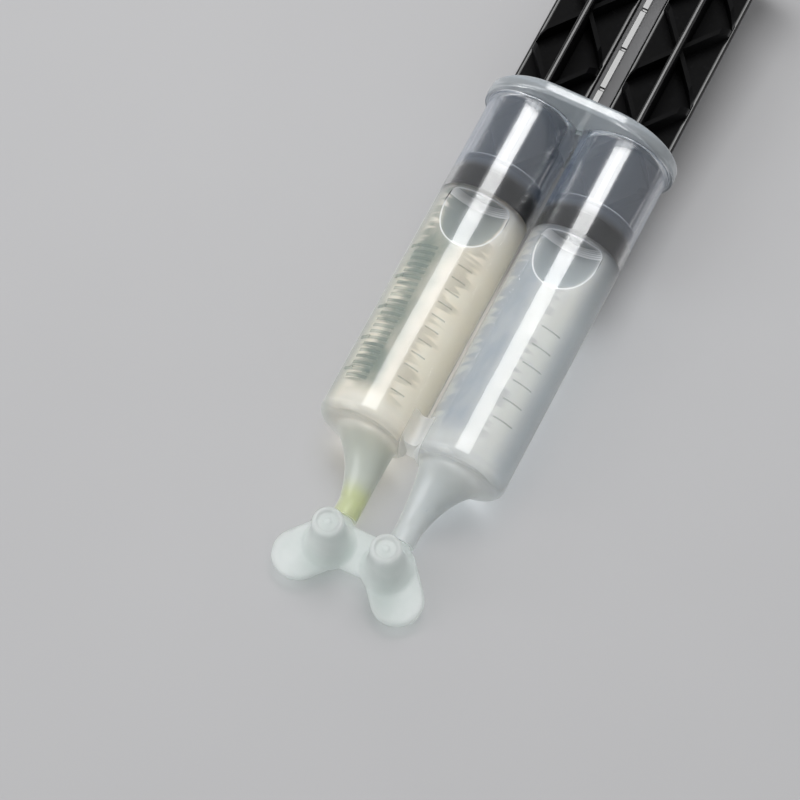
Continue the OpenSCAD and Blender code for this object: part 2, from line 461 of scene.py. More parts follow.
    def smooth(self, degrees: float) -> "Bench":
        """Shades the mesh smooth across edges that are flatter than an angle, and keeps flat faces flat.

        Args:
            degrees: The angle.

        Returns:
            This bench.
        """
        self.take()
        bpy.ops.object.shade_smooth_by_angle(angle=math.radians(degrees))
        return self.modify("WEIGHTED_NORMAL", mode="FACE_AREA", weight=FACE_PULL, keep_sharp=True)

    def dress(self, *materials: bpy.types.Material) -> "Bench":
        """Fills the mesh's material slots in order.

        Args:
            materials: The materials.

        Returns:
            This bench.
        """
        self.obj.data.materials.clear()
        for material in materials:
            self.obj.data.materials.append(material)
        return self

    def paint_picked(self, slot: int) -> None:
        """Gives the picked faces, in edit mode, one of the mesh's material slots."""
        self.obj.active_material_index = slot
        bpy.ops.object.material_slot_assign()

    def paint_all(self, slot: int) -> "Bench":
        """Gives the whole mesh one of its material slots.

        Args:
            slot: The slot's number.

        Returns:
            This bench.
        """
        self.edit()
        self.paint_picked(slot)
        bpy.ops.object.mode_set(mode="OBJECT")
        return self


class Signal:
    """A shader value that takes part in Python arithmetic, one Math node for each step."""

    def __init__(self, nodes: "Nodes", socket: bpy.types.NodeSocket) -> None:
        """Wraps a socket.

        Args:
            nodes: The node tree being built.
            socket: The output that carries the value.
        """
        self.nodes = nodes
        self.socket = socket

    def _math(self, operation: str, *values: object) -> "Signal":
        """Adds one Math node.

        Args:
            operation: The node's operation.
            values: Its inputs, as signals or numbers.

        Returns:
            The node's result.
        """
        return self.nodes.value("ShaderNodeMath", {"operation": operation}, dict(enumerate(values)))

    def __add__(self, other: object) -> "Signal":
        """Sum."""
        return self._math("ADD", self, other)

    def __radd__(self, other: object) -> "Signal":
        """Sum, from the right."""
        return self._math("ADD", other, self)

    def __sub__(self, other: object) -> "Signal":
        """Difference."""
        return self._math("SUBTRACT", self, other)

    def __rsub__(self, other: object) -> "Signal":
        """Difference, from the right."""
        return self._math("SUBTRACT", other, self)

    def __mul__(self, other: object) -> "Signal":
        """Product."""
        return self._math("MULTIPLY", self, other)

    def __rmul__(self, other: object) -> "Signal":
        """Product, from the right."""
        return self._math("MULTIPLY", other, self)

    def __pow__(self, other: object) -> "Signal":
        """Power."""
        return self._math("POWER", self, other)

    def __abs__(self) -> "Signal":
        """Size without sign."""
        return self._math("ABSOLUTE", self)

    def either(self, other: "Signal") -> "Signal":
        """The larger of two values."""
        return self._math("MAXIMUM", self, other)

    def ramp(self, start: float, end: float) -> "Signal":
        """Goes smoothly from 0 at start to 1 at end.

        Args:
            start: Where it leaves 0.
            end: Where it reaches 1.

        Returns:
            The share.
        """
        return self.nodes.value(
            "ShaderNodeMapRange", {"interpolation_type": "SMOOTHSTEP"},
            {"Value": self, "From Min": start, "From Max": end, "To Min": 0.0, "To Max": 1.0})


class Nodes:
    """The nodes of one tree."""

    def __init__(self, tree: bpy.types.NodeTree) -> None:
        """Takes up a tree.

        Args:
            tree: The node tree to add to.
        """
        self.tree = tree

    def node(self, kind: str, settings: dict[str, object] | None = None,
             inputs: dict[object, object] | None = None) -> bpy.types.Node:
        """Adds one node.

        Args:
            kind: The node's type.
            settings: Its properties, set first.
            inputs: Values or links for its sockets, by name or number.

        Returns:
            The node.
        """
        made = self.tree.nodes.new(kind)
        for key, value in (settings or {}).items():
            setattr(made, key, value)
        for key, value in (inputs or {}).items():
            self.feed(made.inputs[key], value)
        return made

    def feed(self, socket: bpy.types.NodeSocket, value: object) -> None:
        """Links or sets one socket.

        Args:
            socket: The input.
            value: A signal, an output socket, or a plain value.
        """
        if isinstance(value, Signal):
            value = value.socket
        if isinstance(value, bpy.types.NodeSocket):
            self.tree.links.new(value, socket)
        elif socket.type == "RGBA" and len(value) == 3:
            socket.default_value = (*value, 1.0)
        else:
            socket.default_value = value

    def value(self, kind: str, settings: dict[str, object] | None = None,
              inputs: dict[object, object] | None = None, output: object = 0) -> Signal:
        """Adds a node and takes one of its outputs as a signal.

        Args:
            kind: The node's type.
            settings: Its properties.
            inputs: Values or links for its sockets.
            output: The output's name or number.

        Returns:
            The signal.
        """
        return Signal(self, self.node(kind, settings, inputs).outputs[output])


class Desk(Nodes):
    """The nodes of one material."""

    def __init__(self, name: str) -> None:
        """Starts a material with a plain Principled surface.

        Args:
            name: The material's name.
        """
        self.material = bpy.data.materials.new(name)
        self.material.use_nodes = True
        super().__init__(self.material.node_tree)
        self.surface = next(n for n in self.tree.nodes if n.type == "BSDF_PRINCIPLED")
        self.output = next(n for n in self.tree.nodes if n.type == "OUTPUT_MATERIAL")
        self.place = self.node("ShaderNodeTexCoord").outputs["Object"]

    def noise(self, noise: Noise) -> Signal:
        """Adds noise on the object's own coordinates.

        Args:
            noise: What it is like.

        Returns:
            The noise, about 0.5.
        """
        vector = self.place
        if not noise.is_even:
            mapping = self.node("ShaderNodeMapping", None, {"Vector": vector, "Scale": noise.stretch})
            vector = mapping.outputs[0]
        return self.value("ShaderNodeTexNoise", None, {
            "Vector": vector, "Scale": noise.scale, "Detail": noise.detail,
            "Roughness": noise.rough}, "Fac")

    def axes(self) -> tuple[Signal, Signal, Signal]:
        """The object's x, y and z, in metres."""
        split = self.node("ShaderNodeSeparateXYZ", None, {0: self.place})
        return tuple(Signal(self, out) for out in split.outputs)

    def blend(self, share: Signal, low: object, high: object) -> bpy.types.NodeSocket:
        """Mixes two colours.

        Args:
            share: 0 gives the first and 1 the second.
            low: The first colour, or a colour socket.
            high: The second.

        Returns:
            The mixed colour.
        """
        mix = self.node("ShaderNodeMix", {"data_type": "RGBA"}, {0: share, 6: low, 7: high})
        return mix.outputs[2]

    def dents(self, height: Signal, strength: float, depth: float) -> bpy.types.NodeSocket:
        """Makes a bumped normal.

        Args:
            height: The height field, from 0 to 1.
            strength: How strongly it shows.
            depth: Height of 1, in millimetres.

        Returns:
            The normal.
        """
        bump = self.node("ShaderNodeBump", None,
                         {"Strength": strength, "Distance": depth * MM, "Height": height})
        return bump.outputs[0]

    def finish(self, **inputs: object) -> bpy.types.Material:
        """Sets the surface's sockets.

        Args:
            inputs: Values or links, by socket name with _ for spaces.

        Returns:
            The finished material.
        """
        for key, value in inputs.items():
            self.feed(self.surface.inputs[key.replace("_", " ")], value)
        return self.material

    def layer(self, **inputs: object) -> bpy.types.NodeSocket:
        """Adds another Principled surface, to be mixed in.

        Args:
            inputs: Values or links, by socket name with _ for spaces.

        Returns:
            Its shader.
        """
        named = {key.replace("_", " "): value for key, value in inputs.items()}
        return self.node("ShaderNodeBsdfPrincipled", None, named).outputs[0]

    def mixed(self, share: Signal, low: bpy.types.NodeSocket,
              high: bpy.types.NodeSocket) -> bpy.types.NodeSocket:
        """Mixes two shaders.

        Args:
            share: 0 gives the first and 1 the second.
            low: The first shader.
            high: The second.

        Returns:
            The mixed shader.
        """
        return self.node("ShaderNodeMixShader", None, {0: share, 1: low, 2: high}).outputs[0]

    def lit_through(self, shader: bpy.types.NodeSocket, tint: Colour) -> bpy.types.Material:
        """Shows a shader that lets the lamps reach what is behind it.

        Args:
            shader: What the surface looks like.
            tint: What is left of a lamp's light behind it.

        Returns:
            The finished material.
        """
        lamp_ray = self.value("ShaderNodeLightPath", None, None, "Is Shadow Ray")
        open_way = self.node("ShaderNodeBsdfTransparent", None, {"Color": tint}).outputs[0]
        self.feed(self.output.inputs["Surface"], self.mixed(lamp_ray, shader, open_way))
        return self.material


@dataclass(frozen=True)
class HazyPlastic:
    """Natural translucent plastic: clear in a thin wall, milky where it is thick or seen edge-on."""

    name: str = "hazy_natural_plastic"
    clear: Colour = (0.975, 0.978, 0.978)
    cloudy: Colour = (0.950, 0.956, 0.958)
    milk: Colour = (0.82, 0.83, 0.82)
    veil: Colour = (0.72, 0.74, 0.74)
    dry: Colour = (0.46, 0.57, 0.76)
    behind: Colour = (0.93, 0.94, 0.945)
    flow: Noise = Noise(70.0, 3.0, (1.0, 0.35, 1.0))
    grain: Noise = Noise(900.0)
    cloud_band: tuple[float, float] = (0.35, 0.7)
    ripple: tuple[float, float] = (0.035, 0.25)
    ripple_grain: float = 0.25
    ior: float = 1.49
    blur: tuple[float, float] = (0.08, 0.18)
    grain_blur: float = 0.04
    milk_blur: tuple[float, float] = (0.30, 0.15)
    dull_blur: float = 0.4
    dull_milk: float = 0.3
    coat_blur: float = 0.14
    haze: float = 0.006
    dry_haze: float = 0.045
    edge_haze: float = 0.55
    dry_edge: float = 0.20
    edge_power: float = 3.0
    neck_haze: float = 0.30
    saddle_haze: float = 0.3
    gloss: float = 0.05
    dry_gloss: float = 0.55
    shine: float = 0.08
    dry_from: float = -19.4
    dry_to: float = -17.6
    filled_from: float = -23.6
    filled_to: float = -24.6
    neck_from: float = -73.0
    neck_to: float = -77.5
    web_from: float = -68.8
    web_to: float = -69.4
    web_in: float = 1.6
    web_out: float = 2.4
    root_from: float = -8.0
    root_to: float = -6.0
    root_dull: float = 1.0

    def material(self) -> bpy.types.Material:
        """Builds the material: clouds in tint and blur, milk by thickness, a glossy skin with a ripple.

        Returns:
            The material.
        """
        desk = Desk(self.name)
        flow = desk.noise(self.flow)
        grain = desk.noise(self.grain)
        across, along, _ = desk.axes()
        clouds = flow.ramp(*self.cloud_band)
        ripple = desk.dents(flow + self.ripple_grain * grain, *self.ripple)
        valley = 1.0 - abs(across).ramp(self.web_in * MM, self.web_out * MM)
        saddle = valley * along.ramp(self.web_from * MM, self.web_to * MM)
        root = valley * along.ramp(self.root_from * MM, self.root_to * MM)
        dull = saddle + self.root_dull * root
        dry = along.ramp(self.dry_from * MM, self.dry_to * MM)
        polish = self.gloss + (self.dry_gloss - self.gloss) * dry
        skin = {"Coat_Weight": polish * (1.0 - dull), "Coat_Roughness": self.coat_blur,
                "Specular_IOR_Level": self.shine, "Normal": ripple}
        low, high = self.blur
        speckle = self.grain_blur * (grain - 0.5)
        desk.finish(
            Base_Color=desk.blend(clouds, self.clear, self.cloudy),
            Roughness=low + (high - low) * flow + speckle + self.dull_blur * dull,
            Transmission_Weight=1.0, IOR=self.ior, **skin)
        in_neck = along.ramp(self.neck_from * MM, self.neck_to * MM)
        base, by_flow = self.milk_blur
        milk = desk.layer(
            Base_Color=desk.blend(dry, desk.blend(clouds, self.milk, self.veil), self.dry),
            Roughness=base + by_flow * flow + self.dull_milk * dull, **skin)
        edge_on = desk.value("ShaderNodeLayerWeight", None, {"Blend": 0.5}, "Facing")
        filled = along.ramp(self.filled_from * MM, self.filled_to * MM)
        rim = self.dry_edge + (self.edge_haze - self.dry_edge) * filled
        share = (self.haze + self.dry_haze * dry + rim * edge_on ** self.edge_power
                 + self.neck_haze * in_neck + self.saddle_haze * saddle)
        return desk.lit_through(desk.mixed(share, desk.surface.outputs[0], milk), self.behind)


@dataclass(frozen=True)
class FrostedPlastic:
    """Soft frosted plastic of the closure, milky right through."""

    name: str = "frosted_soft_plastic"
    pale: Colour = (0.79, 0.825, 0.815)
    deep: Colour = (0.715, 0.76, 0.745)
    behind: Colour = (0.72, 0.75, 0.74)
    see_through: float = 0.45
    clouds: Noise = Noise(160.0, 3.0)
    grain: Noise = Noise(2600.0)
    cloud_band: tuple[float, float] = (0.3, 0.72)
    rough: Point = (0.36, 0.16, 0.06)
    depth: float = 6.0
    frost: tuple[float, float] = (0.18, 0.06)
    cloud_lift: float = 1.5

    def material(self) -> bpy.types.Material:
        """Builds the material: milky clouds, matt skin and a fine frosted grain.

        Returns:
            The material.
        """
        desk = Desk(self.name)
        clouds = desk.noise(self.clouds)
        grain = desk.noise(self.grain)
        base, by_cloud, by_grain = self.rough
        desk.finish(
            Base_Color=desk.blend(clouds.ramp(*self.cloud_band), self.pale, self.deep),
            Roughness=base + by_cloud * clouds + by_grain * grain,
            Transmission_Weight=self.see_through,
            IOR=PLASTIC_IOR,
            Subsurface_Weight=1.0,
            Subsurface_Radius=(1.0, 1.0, 1.0),
            Subsurface_Scale=self.depth * MM,
            Normal=desk.dents(grain + self.cloud_lift * clouds, *self.frost))
        return desk.lit_through(desk.surface.outputs[0], self.behind)


@dataclass(frozen=True)
class BlackPlastic:
    """Black moulding plastic with a satin skin."""

    name: str = "satin_black_plastic"
    black: Colour = (0.0070, 0.0070, 0.0074)
    worn: Colour = (0.0130, 0.0130, 0.0136)
    specular: float = 0.32
    flow: Noise = Noise(120.0, 3.0, (1.0, 0.3, 1.0))
    scuff: Noise = Noise(700.0, 4.0)
    worn_band: tuple[float, float] = (0.55, 0.8)
    rough: Point = (0.46, 0.16, 0.10)
    coat_blur: float = 0.14
    dent: tuple[float, float] = (0.10, 0.15)
    scuff_lift: float = 0.2

    def polish(self, desk: Desk, flow: Signal) -> object:
        """The share of the skin that is polished, here none."""
        return 0.0

    def material(self) -> bpy.types.Material:
        """Builds the material: flow streaks, scuffs, and the polish that the mould leaves.

        Returns:
            The material.
        """
        desk = Desk(self.name)
        flow = desk.noise(self.flow)
        scuff = desk.noise(self.scuff)
        base, by_scuff, by_flow = self.rough
        return desk.finish(
            Base_Color=desk.blend(scuff.ramp(*self.worn_band), self.black, self.worn),
            Roughness=base + by_scuff * scuff + by_flow * flow,
            IOR=PLASTIC_IOR,
            Specular_IOR_Level=self.specular,
            Coat_Weight=self.polish(desk, flow),
            Coat_Roughness=self.coat_blur,
            Normal=desk.dents(flow + self.scuff_lift * scuff, *self.dent))


@dataclass(frozen=True)
class RodPlastic(BlackPlastic):
    """Black plastic of the rods and rail: matt in its panels, polished along its fin edges and rail."""

    name: str = "moulded_black_plastic"
    black: Colour = (0.0030, 0.0030, 0.0033)
    worn: Colour = (0.0085, 0.0085, 0.0090)
    specular: float = 0.06
    axis_x: float = 10.0
    axis_z: float = 14.5
    edge_from: float = 6.8
    edge_to: float = 7.3
    rail_in: float = 0.8
    rail_out: float = 1.2
    rail_from: float = 1.4
    rail_to: float = 2.0
    gleam: tuple[float, float] = (0.75, 0.35)

    def polish(self, desk: Desk, flow: Signal) -> Signal:
        """Masks the fin edges and the rail, which the mould's cores don't touch.

        Args:
            desk: The material's desk.
            flow: The streaks that break the polish up.

        Returns:
            The share of the skin that is polished.
        """
        across, along, up = desk.axes()
        out = abs(across)
        fin_edge = (abs(up - self.axis_z * MM).ramp(self.edge_from * MM, self.edge_to * MM)
                    + abs(out - self.axis_x * MM).ramp(self.edge_from * MM, self.edge_to * MM))
        rail = ((1.0 - out.ramp(self.rail_in * MM, self.rail_out * MM))
                * along.ramp(self.rail_from * MM, self.rail_to * MM))
        base, by_flow = self.gleam
        return (fin_edge + rail) * (base + by_flow * flow)


@dataclass(frozen=True)
class SealPlastic:
    """Dark matt plastic of the pistons."""

    name: str = "dark_seal_plastic"
    dark: Colour = (0.003, 0.0035, 0.005)
    light: Colour = (0.008, 0.009, 0.012)
    specular: float = 0.03
    mottle: Noise = Noise(260.0, 3.0)
    rings: Noise = Noise(500.0, 2.0, (0.05, 6.0, 0.05))
    mottle_band: tuple[float, float] = (0.3, 0.75)
    rough: tuple[float, float] = (0.34, 0.2)
    dent: tuple[float, float] = (0.15, 0.05)

    def material(self) -> bpy.types.Material:
        """Builds the material: a soft mottle with turning marks round the band.

        Returns:
            The material.
        """
        desk = Desk(self.name)
        mottle = desk.noise(self.mottle)
        base, by_mottle = self.rough
        return desk.finish(
            Base_Color=desk.blend(mottle.ramp(*self.mottle_band), self.dark, self.light),
            Roughness=base + by_mottle * mottle,
            IOR=PLASTIC_IOR,
            Specular_IOR_Level=self.specular,
            Normal=desk.dents(desk.noise(self.rings), *self.dent))


@dataclass(frozen=True)
class Adhesive:
    """One half of the adhesive: a thick liquid that is partly clear and partly cloudy."""

    name: str
    # body is a painted lit side, where light focused by the liquid falls; shade, dim and far are painted
    # shade with the painted refraction of darker surroundings, and the mottle also draws on them at random;
    # bubble is painted shade in the bubble's hollow.
    body: Colour
    shade: Colour
    dim: Colour
    far: Colour
    bubble: Colour
    throat: Colour
    tip: Colour
    core_x: float
    core_half: float
    teeth: float
    dim_from: float
    dim_to: float
    far_from: float
    far_to: float
    see_through: float
    behind: Colour
    axis_x: float = 10.0
    axis_z: float = 14.5
    hollow_in: float = 7.4
    hollow_out: float = 8.45
    hollow_dim: float = 0.85
    hollow_end: float = -45.0
    hollow_start: float = -40.0
    core_end: float = -68.5
    neck_from: float = -73.0
    neck_to: float = -79.0
    tip_from: float = -84.0
    tip_to: float = -88.0
    swirl: Noise = Noise(85.0, 3.0, (1.0, 0.5, 1.0))
    fine: Noise = Noise(300.0, 3.0, (1.0, 0.6, 1.0))
    comb: Noise = Noise(560.0, 1.0, (0.12, 1.0, 0.12))
    mottle_band: tuple[float, float] = (0.36, 0.64)
    mottle_share: tuple[float, float] = (0.55, 0.45)
    core_soft: float = 1.0
    core_share: Point = (0.12, 0.66, 0.26)
    rough: tuple[float, float] = (0.16, 0.12)
    specular: float = 0.04
    scatter: Point = (1.0, 0.95, 0.85)
    depth: float = 16.0

    def material(self) -> bpy.types.Material:
        """Builds the material: slow swirls, a painted lit side, painted shade with the painted refraction
        of darker surroundings and ticks in a toothed core, painted shade in the bubble and the tint at the
        nozzle.

        Returns:
            The material.
        """
        desk = Desk(self.name)
        swirl = desk.noise(self.swirl)
        across, along, up = desk.axes()
        comb = desk.noise(self.comb).ramp(*self.mottle_band)
        by_swirl, by_fine = self.mottle_share
        mottle = (by_swirl * swirl + by_fine * desk.noise(self.fine)).ramp(*self.mottle_band)
        # The toothed core is painted shade: the painted refraction of darker surroundings and of the ticks.
        away = abs(across - self.core_x * MM) + 2.0 * self.teeth * MM * (comb - 0.5)
        inner, outer = self.core_half - self.core_soft, self.core_half + self.core_soft
        core = ((1.0 - away.ramp(inner * MM, outer * MM))
                * (1.0 - along.ramp(self.core_end * MM, self.neck_from * MM)))
        # Across the barrel the colour goes from the painted lit body to painted shade.
        tone = desk.blend(across.ramp(self.dim_from * MM, self.dim_to * MM), self.shade, self.dim)
        all_over, in_core, flecks = self.core_share
        sided = desk.blend(all_over * mottle + core * (in_core + flecks * mottle), self.body, tone)
        # Painted shade on the far side.
        sided = desk.blend(across.ramp(self.far_from * MM, self.far_to * MM), sided, self.far)
        gathered = along.ramp(self.tip_from * MM, self.tip_to * MM)
        # The bubble's hollow is painted darker: painted shade.
        radius = ((abs(across) - self.axis_x * MM) ** 2 + (up - self.axis_z * MM) ** 2) ** 0.5
        hollow = ((1.0 - radius.ramp(self.hollow_in * MM, self.hollow_out * MM))
                  * along.ramp(self.hollow_end * MM, self.hollow_start * MM))
        sided = desk.blend(self.hollow_dim * hollow, sided, self.bubble)
        sided = desk.blend(along.ramp(self.neck_from * MM, self.neck_to * MM), sided, self.throat)
        base, rougher = self.rough
        desk.finish(
            Base_Color=desk.blend(gathered, sided, self.tip),
            Roughness=base + rougher * swirl,
            Transmission_Weight=self.see_through,
            IOR=PLASTIC_IOR,
            Specular_IOR_Level=self.specular,
            Subsurface_Weight=1.0,
            Subsurface_Radius=self.scatter,
            Subsurface_Scale=self.depth * MM)
        return desk.lit_through(desk.surface.outputs[0], self.behind)


@dataclass
class Sizes:
    """Main sizes that the sub-assemblies share, in millimetres, as in the CAD frame."""

    pitch: float = 20.0
    axis_z: float = 14.5
    bore_r: float = 8.6
    barrel_r: float = 9.6
    flange_front: float = -1.4
    flange_back: float = 1.4
    shoulder_out: float = -76.9
    shoulder_in: float = -75.4
    neck_len: float = 15.1
    nozzle_len: float = 3.0
    nozzle_r: float = 2.6
    nozzle_bore: float = 1.8
    nozzle_pitch: float = 12.2
    nozzle_drop: float = 4.5
    neck_root_r: float = 6.6
    neck_root_bore: float = 5.5
    neck_root_inset: float = 0.8
    neck_flare: float = 6.0
    piston_front: float = -24.0
    piston_back: float = -15.6
    thumb_front: float = 56.3
    rod_r: float = 7.8
    neck_bore_steps: int = 18

    @property
    def neck_end(self) -> float:
        """Where a nozzle ends."""
        return self.shoulder_out - self.neck_len

    @property
    def nozzle_z(self) -> float:
        """Height of the nozzles."""
        return self.axis_z - self.nozzle_drop

    def barrel_x(self, side: Side) -> float:
        """Where a barrel's axis is across the syringe."""
        return side.value * self.pitch / 2

    def flare(self, s: float) -> float:
        """Works out how far a neck is still flared.

        Args:
            s: Distance from the shoulder.

        Returns:
            1 at the shoulder, falling to 0 at the nozzle.
        """
        run = self.neck_len - self.nozzle_len
        end = math.exp(-run / self.neck_flare)
        return (math.exp(-min(s, run) / self.neck_flare) - end) / (1 - end)

    def neck(self, side: Side, tip_r: float, root_r: float, steps: Iterable[float]) -> list[Ring]:
        """Rings of a neck, or of what fills it.

        Args:
            side: Which neck.
            tip_r: Radius at the nozzle.
            root_r: Radius at the shoulder.
            steps: Distances from the shoulder.

        Returns:
            The rings, from the shoulder on.
        """
        tip_inset = (self.pitch - self.nozzle_pitch) / 2
        rings = []
        for s in steps:
            k = self.flare(max(s, 0.0))
            inset = tip_inset + (self.neck_root_inset - tip_inset) * k
            rings.append(Ring(
                side.value * (self.pitch / 2 - inset), self.shoulder_out - s,
                self.axis_z - self.nozzle_drop * (1 - k), tip_r + (root_r - tip_r) * k))
        return rings

    def neck_steps(self, count: int) -> list[float]:
        """Even distances along a neck's flare, and the nozzle's end."""
        run = self.neck_len - self.nozzle_len
        return [run * i / count for i in range(count + 1)] + [self.neck_len]


@dataclass(frozen=True)
class Scale:
    """A row of raised graduation ticks on a barrel, in millimetres and degrees from its top."""

    first: float
    pitch: float
    count: int
    from_deg: float
    to_deg: float
    width: float

    def spans(self) -> list[tuple[float, float]]:
        """Where each tick starts and ends along the barrel, from the flange on."""
        return [(self.first - i * self.pitch, self.first - i * self.pitch - self.width)
                for i in range(self.count)]


@dataclass
class BarrelMoulding:
    """Both barrels with the finger flange, shoulder bridge, necks and nozzles, in one moulding.

    The bridge is given by how far it reaches behind the shoulders' rounding and below the axes, and the
    slot by its width and height.
    """

    sizes: Sizes
    finish: HazyPlastic = field(default_factory=HazyPlastic)
    flange_finish: HazyPlastic = field(default_factory=lambda: HazyPlastic(
        "thick_flange_plastic", dry=(0.52, 0.57, 0.60), haze=0.45, dry_haze=0.0, dry_gloss=1.0, shine=0.5,
        root_dull=0.0))
    # The tick finish is darker than the wall: painted shade of the raised ticks.
    tick_shade_finish: HazyPlastic = field(default_factory=lambda: HazyPlastic(
        "tick_painted_shade_plastic", clear=(0.62, 0.68, 0.66), cloudy=(0.55, 0.62, 0.60),
        milk=(0.32, 0.37, 0.35), veil=(0.26, 0.31, 0.30), haze=0.25))
    # The slot's faces are a matt dark grey: painted shade inside the slot, which also hides the rail's
    # reflection.
    slot_shade_finish: HazyPlastic = field(default_factory=lambda: HazyPlastic(
        "slot_painted_shade_plastic", dry=(0.30, 0.335, 0.35), haze=1.0, dry_haze=0.0, gloss=0.0, dry_gloss=0.0))
    sides: int = 96
    root_fillet: float = 1.0
    shoulder_round: float = 2.2
    bore_round: float = 1.2
    lead_in: float = 0.5
    flange_h: float = 29.0
    flange_w: float = 41.4
    flange_edge: float = 0.8
    bridge: tuple[float, float] = (5.2, 3.0)
    web_round: float = 2.0
    web_set: float = 1.0
    web_edge: float = 0.9
    neck_fillet: float = 1.1
    fillet_run: float = 0.5
    slot: tuple[float, float] = (1.3, 1.7)
    slot_low: float = 17.65
    slot_run: float = 1.3
    tick_height: float = 0.16
    root_sunk: float = 0.8
    root_steps: int = 6
    shoulder_turn: float = 80.5
    shoulder_steps: int = 7
    bore_steps: int = 5
    mouth_over: float = 0.5
    fine_step: float = 0.1
    fine_count: int = 12
    neck_rings: int = 22
    flange_steps: int = 4
    web_steps: int = 5
    web_sides: int = 48
    crease_deg: float = 38.0
    scales: dict[Side, list[Scale]] = field(default_factory=lambda: {
        Side.RESIN: [Scale(-38.6, 1.45, 22, -44.0, -14.0, 0.72), Scale(-38.6, 7.25, 5, -58.0, -43.0, 0.72),
                     Scale(-40.05, 2.9, 11, 14.0, 34.0, 0.3)],
        Side.HARDENER: [Scale(-44.5, 4.2, 6, 14.0, 40.0, 0.3)],
    })

    def outside(self, side: Side, dressing: Sequence[bpy.types.Material]) -> Bench:
        """Lofts a barrel's outside with its neck, and raises its graduation ticks.

        Args:
            side: Which barrel.
            dressing: Materials of the wall, the ticks, the flange and its slot.

        Returns:
            The solid.
        """
        s = self.sizes
        x, z, f, sr = s.barrel_x(side), s.axis_z, self.root_fillet, self.shoulder_round
        rings = [Ring(x, s.flange_front + self.root_sunk, z, s.barrel_r + f)]
        rings += [Ring(x, s.flange_front - f + f * sine, z, s.barrel_r + f + f * cosine)
                  for sine, cosine in arc(90, 180, self.root_steps)]
        edges = {y for scale in self.scales[side] for span in scale.spans() for y in span}
        rings += [Ring(x, y, z, s.barrel_r) for y in sorted(edges, reverse=True)]
        rings += [Ring(x, s.shoulder_out + sr - sr * sine, z, s.barrel_r - sr + sr * cosine)
                  for sine, cosine in arc(0, self.shoulder_turn, self.shoulder_steps)]
        fine = [self.fine_step * i for i in range(self.fine_count)]
        coarse = [step for step in s.neck_steps(self.neck_rings) if step > fine[-1] + self.fine_step]
        for step in fine + coarse:
            ring = s.neck(side, s.nozzle_r, s.neck_root_r, [step])[0]
            swell = math.exp(-step / self.fillet_run)
            rings.append(Ring(
                ring.x + (x - ring.x) * swell, ring.y, ring.z, ring.r + self.neck_fillet * swell))
        made = Bench.loft(f"{side.label}_outside", rings, self.sides).dress(*dressing)
        for scale in self.scales[side]:
            self.raise_ticks(made, x, scale)
        return made

    def raise_ticks(self, made: Bench, x: float, scale: Scale) -> None:
        """Raises one row of ticks out of a barrel's wall.

        Args:
            made: The barrel's outside.
            x: Where its axis is.
            scale: The row.
        """
        low, high = math.radians(scale.from_deg), math.radians(scale.to_deg)
        bands = [(b * MM, a * MM) for a, b in scale.spans()]

        def on_tick(middle: Vector) -> bool:
            """Says whether a face with that middle lies on one of the row's ticks."""
            angle = math.atan2(middle.x - x * MM, middle.z - self.sizes.axis_z * MM)
            return low < angle < high and any(a < middle.y < b for a, b in bands)

        made.edit()
        picked = made.pick_faces(on_tick)
        LOG.info("%s: %d faces raised as ticks", made.obj.name, picked)
        bpy.ops.mesh.extrude_region_shrink_fatten(
            TRANSFORM_OT_shrink_fatten={"value": self.tick_height * MM})
        # The raised ticks take the darker tick finish, which is painted shade.
        made.paint_picked(Skin.TICK.value)
        bpy.ops.object.mode_set(mode="OBJECT")

    def inside(self, side: Side) -> Bench:
        """Lofts the space in a barrel, its neck and its nozzle.

        Args:
            side: Which barrel.

        Returns:
            The space as a solid.
        """
        s = self.sizes
        x, z, br = s.barrel_x(side), s.axis_z, self.bore_round
        over = self.mouth_over
        rings = [Ring(x, s.flange_back + over, z, s.bore_r + self.lead_in + over),
                 Ring(x, s.flange_back - self.lead_in, z, s.bore_r)]
        rings += [Ring(x, s.shoulder_in + br - br * sine, z, s.bore_r - br + br * cosine)
                  for sine, cosine in arc(0, 90, self.bore_steps)]
        root = s.neck(side, s.nozzle_bore, s.neck_root_bore, [0.0])[0]
        rings.append(Ring(root.x, s.shoulder_in, root.z, root.r))
        rings += s.neck(side, s.nozzle_bore, s.neck_root_bore, s.neck_steps(s.neck_bore_steps))
        last = rings[-1]
        rings.append(Ring(last.x, last.y - OVERCUT, last.z, last.r))
        return Bench.loft(f"{side.label}_inside", rings, self.sides)

    def flange(self) -> Bench:
        """Makes the finger flange: a plate with round ends and rounded edges.

        Returns:
            The flange.
        """
        s = self.sizes
        reach = self.flange_w - self.flange_h
        plate = Bench.slab(
            "flange_plate", self.flange_h / 2, self.sides, (-reach / 2, s.flange_back, s.axis_z), Along.Y,
            (reach, 0, 0), (0, s.flange_front - s.flange_back, 0))
        return plate.round_edges(self.flange_edge, self.flange_steps)

    def web(self) -> Bench:
        """Makes the web that ties the shoulders: a block with a valley along it and a rounded front.

        Returns:
            The web.
        """
        s = self.sizes
        deep, low = self.bridge
        front = s.shoulder_out + self.web_set
        back = s.shoulder_out + self.shoulder_round + deep
        reach = s.barrel_r + self.web_round
        hub = s.axis_z + math.sqrt(reach ** 2 - (s.pitch / 2) ** 2)
        half = s.pitch / 2 * self.web_round / reach
        brow = s.axis_z + (hub - s.axis_z) * s.barrel_r / reach
        web = Bench.block("shoulder_web", (-half, front, s.axis_z - low), (half, back, brow))
        web.edit()
        web.pick_edges(lambda p, angle: abs(p.y - front * MM) < NEAR * MM)
        bpy.ops.mesh.bevel(offset=self.web_edge * MM, segments=self.web_steps, affect="EDGES")
        web.close()
        return web.fuse(Fuse.CUT, Bench.loft("web_valley", [
            Ring(0, back + OVERCUT, hub, self.web_round),
            Ring(0, front - OVERCUT, hub, self.web_round)], self.web_sides))

